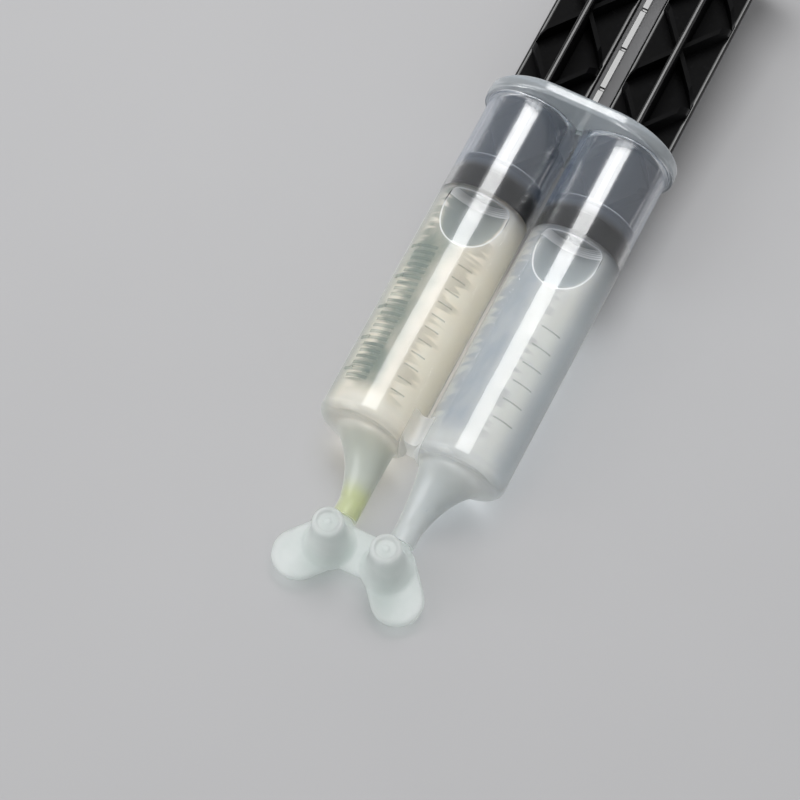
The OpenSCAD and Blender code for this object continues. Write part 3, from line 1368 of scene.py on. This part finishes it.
    def build(self) -> list[bpy.types.Object]:
        """Fuses the moulding, dresses it and puts it on its body.

        Returns:
            The finished piece.
        """
        s = self.sizes
        finishes = {Skin.WALL: self.finish, Skin.TICK: self.tick_shade_finish,
                    Skin.FLANGE: self.flange_finish, Skin.SLOT: self.slot_shade_finish}
        dressing = [finishes[skin].material() for skin in Skin]
        whole = self.flange().dress(*dressing).paint_all(Skin.FLANGE.value)
        whole.fuse(Fuse.ADD, *(self.outside(side, dressing) for side in Side), self.web())
        whole.fuse(Fuse.CUT, *(self.inside(side) for side in Side))
        wide, high = self.slot
        slot = Bench.block("rail_slot", (-wide / 2, s.flange_front - self.slot_run, self.slot_low),
                           (wide / 2, s.flange_back + OVERCUT, self.slot_low + high))
        # The slot's faces take the slot finish, which is painted shade.
        whole.fuse(Fuse.CUT, slot.dress(*dressing).paint_all(Skin.SLOT.value))
        whole.smooth(self.crease_deg)
        piece = whole.obj
        piece.name = piece.data.name = "barrel_moulding"
        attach(piece, "barrel_pack")
        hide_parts("resin_barrel", "hardener_barrel", "finger_flange", "shoulder_bridge",
                    "resin_neck", "hardener_neck")
        return [piece]


@dataclass
class SnapOffClosure:
    """The closure: two wings on a bar, two recap thimbles and the stubs that close the nozzles.

    A gate pit is given by the radii of its rim and floor and its depth, and the mark in it by the radii
    of its foot and top and how far its top stays below the crown.
    """

    sizes: Sizes
    finish: FrostedPlastic = field(default_factory=FrostedPlastic)
    wing_t: float = 1.8
    wing_r: float = 5.2
    splay: float = 4.4
    reach: float = 5.3
    bar_len: float = 8.6
    thimble_set: float = 0.9
    thimble_r: float = 3.4
    thimble_bore: float = 2.7
    thimble_h: float = 11.6
    taper: float = 0.3
    crown_round: float = 0.6
    flare: float = 1.7
    flare_run: float = 3.2
    break_r: float = 2.1
    break_w: float = 0.6
    grain: float = 0.22
    soften: float = 0.5
    soften_rounds: int = 4
    wing_sides: int = 64
    wing_edge: float = 0.55
    edge_steps: int = 3
    foot_up: float = 0.3
    wall_steps: int = 14
    crown_steps: int = 4
    gate_pit: Point = (2.25, 2.0, 0.3)
    gate_mark: Point = (0.75, 0.5, 0.02)
    thimble_sides: int = 56
    roof: float = 1.3
    roof_slope: float = 0.6
    break_run: float = 0.3
    stub_sides: int = 40
    crease_deg: float = 60.0

    @property
    def root_y(self) -> float:
        """Where the wings' roots are along the syringe."""
        return self.sizes.neck_end - self.wing_r

    @property
    def low(self) -> float:
        """Underside of the wings."""
        return self.sizes.nozzle_z - self.wing_t / 2

    def wing(self, side: Side) -> Bench:
        """Makes one wing with soft edges.

        Args:
            side: Which wing.

        Returns:
            The wing.
        """
        x = side.value * self.sizes.nozzle_pitch / 2
        plate = Bench.slab(
            f"{side.label}_wing", self.wing_r, self.wing_sides, (x, self.root_y, self.low), Along.Z,
            (side.value * self.splay, -self.reach, 0), (0, 0, self.wing_t))
        return plate.round_edges(self.wing_edge, self.edge_steps)

    def thimble(self, side: Side) -> Bench:
        """Makes one recap thimble, flared into its wing, with a gate mark on its crown.

        Args:
            side: Which thimble.

        Returns:
            The solid, before its bore is cut.
        """
        x, y = side.value * self.sizes.nozzle_pitch / 2, self.root_y - self.thimble_set
        top = self.low + self.wing_t
        crown = top + self.thimble_h
        cr, rim = self.crown_round, self.thimble_r - self.taper
        rings = [Ring(x, y, self.low + self.foot_up, self.thimble_r + self.flare)]
        for i in range(self.wall_steps):
            h = (self.thimble_h - cr) * i / self.wall_steps
            swell = self.flare * math.exp(-h / self.flare_run)
            rings.append(Ring(x, y, top + h, self.thimble_r - self.taper * i / self.wall_steps + swell))
        rings += [Ring(x, y, crown - cr + cr * sine, rim - cr + cr * cosine)
                  for sine, cosine in arc(0, 90, self.crown_steps)]
        pit_r, pit_floor, pit_depth = self.gate_pit
        mark_foot, mark_top, mark_drop = self.gate_mark
        rings += [Ring(x, y, crown, pit_r), Ring(x, y, crown - pit_depth, pit_floor),
                  Ring(x, y, crown - pit_depth, mark_foot), Ring(x, y, crown - mark_drop, mark_top)]
        return Bench.loft(f"{side.label}_thimble", rings, self.thimble_sides, Along.Z)

    def stub(self, side: Side) -> Bench:
        """Makes the stub that closes a nozzle, with the groove where it snaps off.

        Args:
            side: Which nozzle.

        Returns:
            The stub.
        """
        s = self.sizes
        x, y, z = side.value * s.nozzle_pitch / 2, s.neck_end, s.nozzle_z
        end = self.root_y - self.thimble_set
        rings = [Ring(x, y, z, self.break_r), Ring(x, y - self.break_w, z, self.break_r),
                 Ring(x, y - self.break_w - self.break_run, z, s.nozzle_r), Ring(x, end, z, s.nozzle_r)]
        return Bench.loft(f"{side.label}_stub", rings, self.stub_sides)

    def bore(self, side: Side) -> Bench:
        """Makes the space in a thimble, from under its wing to below its crown.

        Args:
            side: Which thimble.

        Returns:
            The space as a solid.
        """
        x, y = side.value * self.sizes.nozzle_pitch / 2, self.root_y - self.thimble_set
        roof = self.low + self.wing_t + self.thimble_h - self.roof
        top_r = self.thimble_bore - self.taper
        rings = [Ring(x, y, self.sizes.nozzle_z - 2 * self.sizes.nozzle_r, self.thimble_bore),
                 Ring(x, y, self.low + self.wing_t, self.thimble_bore),
                 Ring(x, y, roof - self.roof_slope, top_r), Ring(x, y, roof, top_r - self.roof_slope)]
        return Bench.loft(f"{side.label}_thimble_space", rings, self.thimble_sides, Along.Z)

    def build(self) -> list[bpy.types.Object]:
        """Fuses the closure, softens it, dresses it and puts it on its body.

        Returns:
            The finished piece.
        """
        x = self.sizes.nozzle_pitch / 2
        bar = Bench.block("wing_bar", (-x, self.root_y - self.bar_len / 2, self.low),
                          (x, self.root_y + self.bar_len / 2, self.low + self.wing_t))
        whole = bar.round_edges(self.wing_edge, self.edge_steps)
        whole.join(*(make(side) for side in Side for make in (self.wing, self.thimble, self.stub)))
        whole.modify("REMESH", mode="VOXEL", voxel_size=self.grain * MM)
        whole.modify("SMOOTH", factor=self.soften, iterations=self.soften_rounds)
        whole.fuse(Fuse.CUT, *(self.bore(side) for side in Side))
        whole.smooth(self.crease_deg)
        piece = whole.obj
        piece.name = piece.data.name = "closure_moulding"
        piece.data.materials.append(self.finish.material())
        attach(piece, "closure")
        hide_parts("snap_off_closure")
        return [piece]


@dataclass
class DoublePlunger:
    """The plunger: two cross-shaped rods with zigzag ribs, the guide rail and the thumb plate."""

    sizes: Sizes
    rod_finish: RodPlastic = field(default_factory=RodPlastic)
    plate_finish: BlackPlastic = field(default_factory=BlackPlastic)
    fin_t: float = 1.3
    fin_round: float = 0.52
    rib_h: float = 4.6
    rib_t: float = 0.9
    rib_pitch: float = 10.0
    stud_r: float = 3.0
    stud_len: float = 4.0
    rail_edge: float = 0.07
    rail_w: float = 1.2
    rail_set: float = 1.3
    rail_low: float = 17.7
    rail_h: float = 1.6
    step_pitch: float = 10.0
    step_h: float = 0.4
    thumb_w: float = 41.0
    thumb_h: float = 23.0
    thumb_t: float = 2.6
    grip_count: int = 5
    grip_h: float = 0.6
    grip_sunk: float = 0.6
    gap_sunk: float = 0.2
    thumb_edge: float = 0.5
    thumb_steps: int = 3
    grip_edge: float = 0.2
    grip_steps: int = 2
    rail_steps: int = 2
    rail_sharp: float = 40.0
    fin_steps: int = 4
    stud_sunk: float = 1.0
    stud_edge: float = 0.5
    rod_sides: int = 72
    stud_sides: int = 48
    thumb_sides: int = 80
    crease_deg: float = 35.0

    def rib(self, index: int, way: int) -> Bench:
        """Makes one leaning rib of the resin rod's zigzag.

        Args:
            index: Which rib, from the piston on.
            way: -1 or 1, the half of the rod.

        Returns:
            The rib, before it is trimmed to the rod.
        """
        s = self.sizes
        lean = math.degrees(math.atan2(s.rod_r, self.rib_pitch))
        run = math.hypot(s.rod_r, self.rib_pitch)
        even = index % 2 == 0
        x = s.barrel_x(Side.RESIN) + (0 if even else way * s.rod_r)
        y = s.piston_back + index * self.rib_pitch
        made = Bench.block(
            "rib", (x - self.rib_t / 2, y, s.axis_z - self.rib_h),
            (x + self.rib_t / 2, y + run, s.axis_z + self.rib_h))
        return made.turn(way * (-lean if even else lean), (x, y, s.axis_z))

    def fin(self, name: str, low: Sequence[float], high: Sequence[float]) -> Bench:
        """Makes one fin with its long edges rounded.

        Args:
            name: Name for the object.
            low: Lowest corner, in millimetres.
            high: Highest corner, in millimetres.

        Returns:
            The fin.
        """
        made = Bench.block(name, low, high)
        middle = (low[1] + high[1]) / 2 * MM
        made.edit()
        made.pick_edges(lambda p, angle: abs(p.y - middle) < MM)
        bpy.ops.mesh.bevel(offset=self.fin_round * MM, segments=self.fin_steps, affect="EDGES")
        return made.close()

    def rod(self) -> Bench:
        """Makes the resin side's rod: two crossed fins, the zigzag and the piston's stud.

        Returns:
            The rod.
        """
        s = self.sizes
        x, z, t = s.barrel_x(Side.RESIN), s.axis_z, self.fin_t / 2
        back, front = s.piston_back, s.thumb_front
        count = math.ceil((front - back) / self.rib_pitch)
        ways = [(index, way) for index in range(count) for way in (-1, 1)]
        rod = self.rib(*ways[0])
        rod.fuse(Fuse.ADD, *(self.rib(*at) for at in ways[1:]))
        room = s.rod_r - self.fin_round
        rod.fuse(Fuse.KEEP, Bench.loft(
            "rod_round", [Ring(x, front, z, room), Ring(x, back, z, room)], self.rod_sides))
        rod.fuse(Fuse.ADD, self.fin("upright_fin", (x - t, back, z - s.rod_r), (x + t, front, z + s.rod_r)),
                 self.fin("flat_fin", (x - s.rod_r, back, z - t), (x + s.rod_r, front, z + t)))
        rod.fuse(Fuse.ADD, Bench.loft("stud", [
            Ring(x, back + self.stud_sunk, z, self.stud_r),
            Ring(x, back - self.stud_len + self.stud_edge, z, self.stud_r),
            Ring(x, back - self.stud_len, z, self.stud_r - self.stud_edge)], self.stud_sides))
        rod.obj.name = rod.obj.data.name = "resin_plunger_rod"
        return rod.smooth(self.crease_deg)

    def rail(self) -> Bench:
        """Makes the guide rail with the steps in its top.

        Returns:
            The rail.
        """
        s = self.sizes
        top = self.rail_low + self.rail_h
        front = s.flange_front + self.rail_set
        rail = Bench.block("plunger_guide_rail", (-self.rail_w / 2, front, self.rail_low),
                           (self.rail_w / 2, s.thumb_front, top))
        wide = self.rail_w / 2 + OVERCUT
        for index in range(1, int((s.thumb_front - s.flange_front) // self.step_pitch) + 1):
            y = s.flange_front + index * self.step_pitch
            rail.fuse(Fuse.CUT, Bench.block(
                "step", (-wide, y, top - self.step_h), (wide, y + 2 * self.step_h, top + OVERCUT)))
        return rail.round_edges(self.rail_edge, self.rail_steps, self.rail_sharp).smooth(self.crease_deg)

    def plate(self) -> Bench:
        """Makes the thumb plate with its grip bars.

        Returns:
            The plate.
        """
        s = self.sizes
        reach = self.thumb_w - self.thumb_h
        plate = Bench.slab(
            "plunger_thumb_plate", self.thumb_h / 2, self.thumb_sides,
            (-reach / 2, s.thumb_front, s.axis_z), Along.Y, (reach, 0, 0), (0, self.thumb_t, 0))
        plate.round_edges(self.thumb_edge, self.thumb_steps)
        bar = self.thumb_h / (2 * self.grip_count + 1)
        back = s.thumb_front + self.thumb_t
        inner = Bench.slab(
            "grip_outline", self.thumb_h / 2 - bar, self.thumb_sides,
            (-reach / 2, back - self.grip_sunk, s.axis_z), Along.Y,
            (reach, 0, 0), (0, self.grip_sunk + self.grip_h, 0))
        for index in range(self.grip_count + 1):
            low = s.axis_z - self.thumb_h / 2 + 2 * index * bar
            inner.fuse(Fuse.CUT, Bench.block(
                "grip_gap", (-self.thumb_w, back - self.gap_sunk, low),
                (self.thumb_w, back + self.grip_h + OVERCUT, low + bar)))
        inner.round_edges(self.grip_edge, self.grip_steps)
        return plate.fuse(Fuse.ADD, inner).smooth(self.crease_deg)

    def build(self) -> list[bpy.types.Object]:
        """Makes the plunger's pieces, dresses them and puts them on their body.

        Returns:
            The finished pieces.
        """
        black = self.rod_finish.material()
        satin = self.plate_finish.material()
        resin = self.rod()
        hardener = resin.copy("hardener_plunger_rod", (self.sizes.pitch, 0, 0))
        made = [(resin, "resin_rod", black), (hardener, "hardener_rod", black),
                (self.rail(), "guide_rail", black), (self.plate(), "thumb_plate", satin)]
        for bench, node, skin in made:
            bench.obj.data.materials.append(skin)
            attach(bench.obj, "plunger")
            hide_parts(node)
        return [bench.obj for bench, node, skin in made]


@dataclass
class SealingPistons:
    """The two pistons, each with a rear lip, a waist, a sealing band and a rounded front."""

    sizes: Sizes
    finish: SealPlastic = field(default_factory=SealPlastic)
    # The lip finish is pale: a painted highlight line round the rim of the piston's rear lip.
    lip_highlight_finish: SealPlastic = field(default_factory=lambda: SealPlastic(
        "seal_lip_painted_highlight", dark=(0.42, 0.45, 0.47), light=(0.55, 0.58, 0.60), specular=0.5))
    lip_edge: float = 0.27
    radius: float = 8.55
    lip: float = 0.7
    waist: float = 2.6
    waist_depth: float = 0.6
    front_round: float = 0.6
    socket_r: float = 3.05
    socket_len: float = 4.05
    lip_profile: tuple[tuple[float, float], ...] = ((0.0, 0.3), (0.15, 0.05), (0.25, 0.0))
    corner: float = 0.1
    waist_slope: float = 0.25
    front_steps: int = 7
    lip_reach: float = 0.5
    sides: int = 80
    crease_deg: float = 40.0

    def piston(self) -> Bench:
        """Makes the resin side's piston.

        Returns:
            The piston.
        """
        s = self.sizes
        x, z, back, r = s.barrel_x(Side.RESIN), s.axis_z, s.piston_back, self.radius
        fr, inner = self.front_round, self.radius - self.waist_depth
        lip, c, slope = back - self.lip, self.corner, self.waist_slope
        band = lip - self.waist
        profile = [(back - self.socket_len, self.socket_r), (back, self.socket_r)]
        profile += [(back - forward, r - inward) for forward, inward in self.lip_profile]
        profile += [(lip + c, r), (lip, r - c), (lip - slope, inner),
                    (band + slope, inner), (band, r - c), (band - c, r)]
        profile += [(s.piston_front + fr - fr * sine, r - fr + fr * cosine)
                    for sine, cosine in arc(0, 90, self.front_steps)]
        seal = Bench.loft("resin_seal", [Ring(x, y, z, pr) for y, pr in profile], self.sides)
        seal.dress(self.finish.material(), self.lip_highlight_finish.material())
        seal.edit()
        # The outer rim of the rear lip takes the pale lip finish, a painted highlight.
        seal.pick_faces(lambda p: p.y > (back - self.lip_edge) * MM and math.hypot(
            p.x - x * MM, p.z - z * MM) > (r - self.lip_reach) * MM)
        seal.paint_picked(ACCENT)
        return seal.close().smooth(self.crease_deg)

    def build(self) -> list[bpy.types.Object]:
        """Makes both pistons, dresses them and puts them on their body.

        Returns:
            The finished pieces.
        """
        resin = self.piston()
        hardener = resin.copy("hardener_seal", (self.sizes.pitch, 0, 0))
        made = [(resin, "resin_piston"), (hardener, "hardener_piston")]
        for bench, node in made:
            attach(bench.obj, "plunger")
            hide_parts(node)
        return [bench.obj for bench, node in made]


@dataclass
class AdhesiveCharge:
    """One half of the adhesive: the column in its barrel, with an air bubble, and what fills the neck."""

    sizes: Sizes
    side: Side
    finish: Adhesive
    rim_highlight_finish: Adhesive
    wet: float = 0.02
    end_round: float = 1.2
    front_round: float = 0.6
    bubble_y: float = -26.8
    bubble_up: float = 12.3
    bubble_r: float = 8.7
    bubble_len: float = 10.4
    bubble_back: float = -24.5
    bubble_corner: float = 1.6
    rim: float = 0.30
    end_gap: float = 0.5
    front_r: float = 3.0
    front_steps: int = 6
    column_steps: int = 12
    end_steps: int = 5
    column_sides: int = 96
    corner_steps: int = 6
    bubble_steps: int = 24
    bubble_sides: int = 72
    bubble_margin: tuple[float, float] = (1.0, 0.3)
    rim_deg: float = 14.0
    rim_steps: int = 2
    neck_sides: int = 64
    crease_deg: float = 40.0

    def column(self) -> Bench:
        """Makes the column between the piston and the shoulder, less its bubble.

        Returns:
            The column.
        """
        s = self.sizes
        x, z, r = s.barrel_x(self.side), s.axis_z, s.bore_r + self.wet
        fr, er = self.front_round, self.end_round
        profile = [(s.piston_front, self.front_r)]
        profile += [(s.piston_front + fr - fr * sine, s.bore_r - fr + fr * cosine)
                    for sine, cosine in arc(90, 0, self.front_steps)]
        profile.append((s.piston_front + fr, r))
        run = s.shoulder_in + er - s.piston_front
        profile += [(s.piston_front + run * i / self.column_steps, r) for i in range(1, self.column_steps)]
        profile += [(s.shoulder_in + er - er * sine, r - er + er * cosine)
                    for sine, cosine in arc(0, 90, self.end_steps)]
        rings = [Ring(x, y, z, pr) for y, pr in profile]
        column = Bench.loft(f"{self.side.label}_column", rings, self.column_sides)
        column.dress(self.finish.material(), self.rim_highlight_finish.material())
        column.fuse(Fuse.CUT, self.bubble(x))
        column.edit()
        ahead, behind = self.bubble_margin
        low = (self.bubble_y - self.bubble_len - ahead) * MM
        high = (self.bubble_back + behind) * MM
        # The bevelled rim round the bubble takes the rim finish, a painted highlight of the meniscus line.
        column.pick_edges(lambda p, angle: (
            angle > math.radians(self.rim_deg) and p.z > z * MM and low < p.y < high))
        bpy.ops.mesh.bevel(offset=self.rim / 2 * MM, segments=self.rim_steps, affect="EDGES")
        column.paint_picked(ACCENT)
        return column.close().smooth(self.crease_deg)

    def bubble(self, x: float) -> Bench:
        """Makes the space of the bubble: pointed towards the nozzle and flat towards the piston.

        Args:
            x: Where the barrel's axis is.

        Returns:
            The space as a solid.
        """
        z, c = self.sizes.axis_z + self.bubble_up, self.bubble_corner
        shoulder = self.bubble_back - c
        start = math.asin((self.bubble_y - shoulder) / self.bubble_len)
        edge = self.bubble_r * math.cos(start) - c
        rings = [Ring(x, shoulder + c * cosine, z, edge + c * sine)
                 for sine, cosine in arc(0, 90, self.corner_steps)]
        rings += [Ring(x, self.bubble_y - self.bubble_len * sine, z, self.bubble_r * cosine)
                  for sine, cosine in arc(math.degrees(start), 90, self.bubble_steps)[1:-1]]
        return Bench.loft("bubble", rings, self.bubble_sides)

    def neck(self) -> Bench:
        """Makes what fills the neck, from the shoulder to the nozzle's end.

        Returns:
            The filling.
        """
        s = self.sizes
        rings = s.neck(self.side, s.nozzle_bore + self.wet, s.neck_root_bore + self.wet,
                       s.neck_steps(s.neck_bore_steps))
        first = rings[0]
        back = Ring(first.x, s.shoulder_in + self.wet, first.z, first.r)
        filling = Bench.loft(f"{self.side.label}_in_neck", [back, *rings], self.neck_sides)
        return filling.smooth(self.crease_deg)

    def build(self) -> list[bpy.types.Object]:
        """Makes the charge's pieces, dresses them and puts them on their body.

        Returns:
            The finished pieces.
        """
        column, filling = self.column(), self.neck()
        filling.dress(column.obj.data.materials[0])
        made = [(column, f"{self.side.label}_charge"), (filling, f"{self.side.label}_neck_charge")]
        for bench, node in made:
            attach(bench.obj, "barrel_pack")
            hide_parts(node)
        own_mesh(column.obj)
        return [bench.obj for bench, node in made]


@dataclass
class Studio:
    """Floor, light and camera."""

    pitch_deg: float = 3.83
    foot: Point = (0.0, 1.4, 0.0)
    floor_size: float = 6.0
    floor_colour: Colour = (0.50, 0.50, 0.51)
    floor_fleck: Colour = (0.47, 0.47, 0.48)
    backdrop: float = 0.60
    world_level: float = 0.38
    key_watts: float = 3.1
    key_size: tuple[float, float] = (0.46, 0.30)
    key_place: Point = (-0.075, 0.2914, 0.690)
    key_aim: Point = (-0.075, -0.010, 0.020)
    fill_watts: float = 7.0
    fill_size: float = 1.0
    fill_place: Point = (-0.9, -0.7, 0.8)
    fill_aim: Point = (0.0, -0.010, 0.020)
    camera_place: Point = (0.11138, -0.29368, 0.61755)
    camera_deg: tuple[float, float, float] = (27.51, 67.04, -0.89)
    lens: float = 153.0
    sensor: float = 36.0
    clip: tuple[float, float] = (0.01, 50.0)
    floor_mottle: Noise = Noise(9.0, 3.0)
    floor_rough: tuple[float, float] = (0.6, 0.1)

    def floor(self) -> None:
        """Lays the floor under the flange's foot and the shoulders that the syringe rests on."""
        Bench.clear()
        bpy.ops.mesh.primitive_plane_add(
            size=self.floor_size, location=[c * MM for c in self.foot],
            rotation=(-math.radians(self.pitch_deg), 0, 0))
        floor = bpy.context.object
        floor.name = "floor"
        desk = Desk("floor_paint")
        mottle = desk.noise(self.floor_mottle)
        base, by_mottle = self.floor_rough
        paint = desk.finish(
            Base_Color=desk.blend(mottle, self.floor_colour, self.floor_fleck),
            Roughness=base + by_mottle * mottle)
        floor.data.materials.append(paint)

    def lamp(self, name: str, watts: float, size: tuple[float, float], place: Point, aim: Point) -> None:
        """Hangs one softbox.

        Args:
            name: Its name.
            watts: Its power.
            size: Width and length, in metres.
            place: Where it hangs.
            aim: What it points at.
        """
        Bench.clear()
        bpy.ops.object.light_add(type="AREA", location=place)
        lamp = bpy.context.object
        lamp.name = name
        lamp.data.energy = watts
        lamp.data.shape = "RECTANGLE"
        lamp.data.size, lamp.data.size_y = size
        lamp.rotation_euler = (Vector(aim) - Vector(place)).to_track_quat("-Z", "Y").to_euler()

    def sky(self) -> None:
        """Sets the world: even soft light, with the pale backdrop where it is seen."""
        world = bpy.data.worlds.new("studio")
        bpy.context.scene.world = world
        world.use_nodes = True
        nodes = Nodes(world.node_tree)
        background = nodes.tree.nodes["Background"]
        path = nodes.node("ShaderNodeLightPath")
        seen = Signal(nodes, path.outputs["Is Camera Ray"])
        for ray in ("Is Glossy Ray", "Is Transmission Ray"):
            seen = seen.either(Signal(nodes, path.outputs[ray]))
        level = self.world_level + (self.backdrop - self.world_level) * seen
        nodes.feed(background.inputs["Strength"], level)
        nodes.feed(background.inputs["Color"], (1.0, 1.0, 1.0))

    def camera(self) -> None:
        """Sets the camera at the photograph's place, angle and lens."""
        turn, tilt, roll = (math.radians(a) for a in self.camera_deg)
        back = Vector((math.sin(turn) * math.cos(tilt), -math.cos(turn) * math.cos(tilt), math.sin(tilt)))
        right = Vector((math.cos(turn), math.sin(turn), 0.0))
        up = back.cross(right)
        across = math.cos(roll) * right + math.sin(roll) * up
        above = math.cos(roll) * up - math.sin(roll) * right
        Bench.clear()
        bpy.ops.object.camera_add(location=self.camera_place)
        camera = bpy.context.object
        camera.name = "camera"
        camera.rotation_euler = Matrix((across, above, back)).transposed().to_euler()
        camera.data.sensor_width = self.sensor
        camera.data.sensor_fit = "HORIZONTAL"
        camera.data.lens = self.lens
        camera.data.clip_start, camera.data.clip_end = self.clip
        bpy.context.scene.camera = camera

    def build(self) -> None:
        """Sets up the whole studio."""
        self.camera()
        self.floor()
        self.sky()
        self.lamp("key_softbox", self.key_watts, self.key_size, self.key_place, self.key_aim)
        self.lamp("fill_softbox", self.fill_watts, (self.fill_size, self.fill_size),
                  self.fill_place, self.fill_aim)
        bpy.context.scene.view_settings.view_transform = "Standard"


# The bubble's rim is a painted highlight of the meniscus line, in one even pale tone: its core covers both
# barrels, and its side tones are alike
MENISCUS_HIGHLIGHT = Adhesive(
    "bubble_rim_painted_highlight", body=(0.78, 0.79, 0.78), shade=(0.70, 0.71, 0.71), dim=(0.70, 0.71, 0.71),
    far=(0.70, 0.71, 0.71), bubble=(0.72, 0.73, 0.73), throat=(0.72, 0.73, 0.73), tip=(0.72, 0.73, 0.73),
    core_x=0.0, core_half=20.0, teeth=0.0, dim_from=18.0, dim_to=19.0, far_from=20.0, far_to=21.0,
    see_through=0.20, behind=(0.88, 0.88, 0.88))
# The resin and hardener colours are partly their own tints and partly painted light: a lit side, painted
# shade with the painted refraction of darker surroundings, and painted shade in the bubble.
RESIN_TONES_AND_PAINTED_LIGHT = Adhesive(
    "cream_resin", body=(0.985, 0.895, 0.78), shade=(0.56, 0.535, 0.47), dim=(0.27, 0.31, 0.285),
    far=(0.52, 0.54, 0.48), bubble=(0.24, 0.28, 0.29), throat=(0.42, 0.47, 0.42), tip=(0.42, 0.49, 0.11),
    core_x=-10.9, core_half=5.0, teeth=1.6, dim_from=-8.6, dim_to=-11.5, far_from=-15.5, far_to=-18.0,
    see_through=0.42, behind=(0.93, 0.90, 0.84))
HARDENER_TONES_AND_PAINTED_LIGHT = Adhesive(
    "clear_hardener", body=(0.76, 0.76, 0.73), shade=(0.56, 0.57, 0.56), dim=(0.46, 0.50, 0.54),
    far=(0.48, 0.52, 0.55), bubble=(0.34, 0.38, 0.40), throat=(0.55, 0.59, 0.60), tip=(0.62, 0.65, 0.65),
    core_x=7.2, core_half=4.6, teeth=1.0, dim_from=10.0, dim_to=7.0, far_from=14.5, far_to=18.0,
    see_through=0.50, behind=(0.91, 0.92, 0.92))


def main() -> None:
    """Builds the studio and every sub-assembly."""
    logging.basicConfig(level=logging.INFO, format="%(name)s: %(message)s")
    sizes = Sizes()
    Studio().build()
    parts = (
        BarrelMoulding(sizes),
        SnapOffClosure(sizes),
        DoublePlunger(sizes),
        SealingPistons(sizes),
        AdhesiveCharge(sizes, Side.RESIN, RESIN_TONES_AND_PAINTED_LIGHT, MENISCUS_HIGHLIGHT),
        AdhesiveCharge(sizes, Side.HARDENER, HARDENER_TONES_AND_PAINTED_LIGHT, MENISCUS_HIGHLIGHT),
    )
    for part in parts:
        for piece in part.build():
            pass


if __name__ == "__main__":
    main()
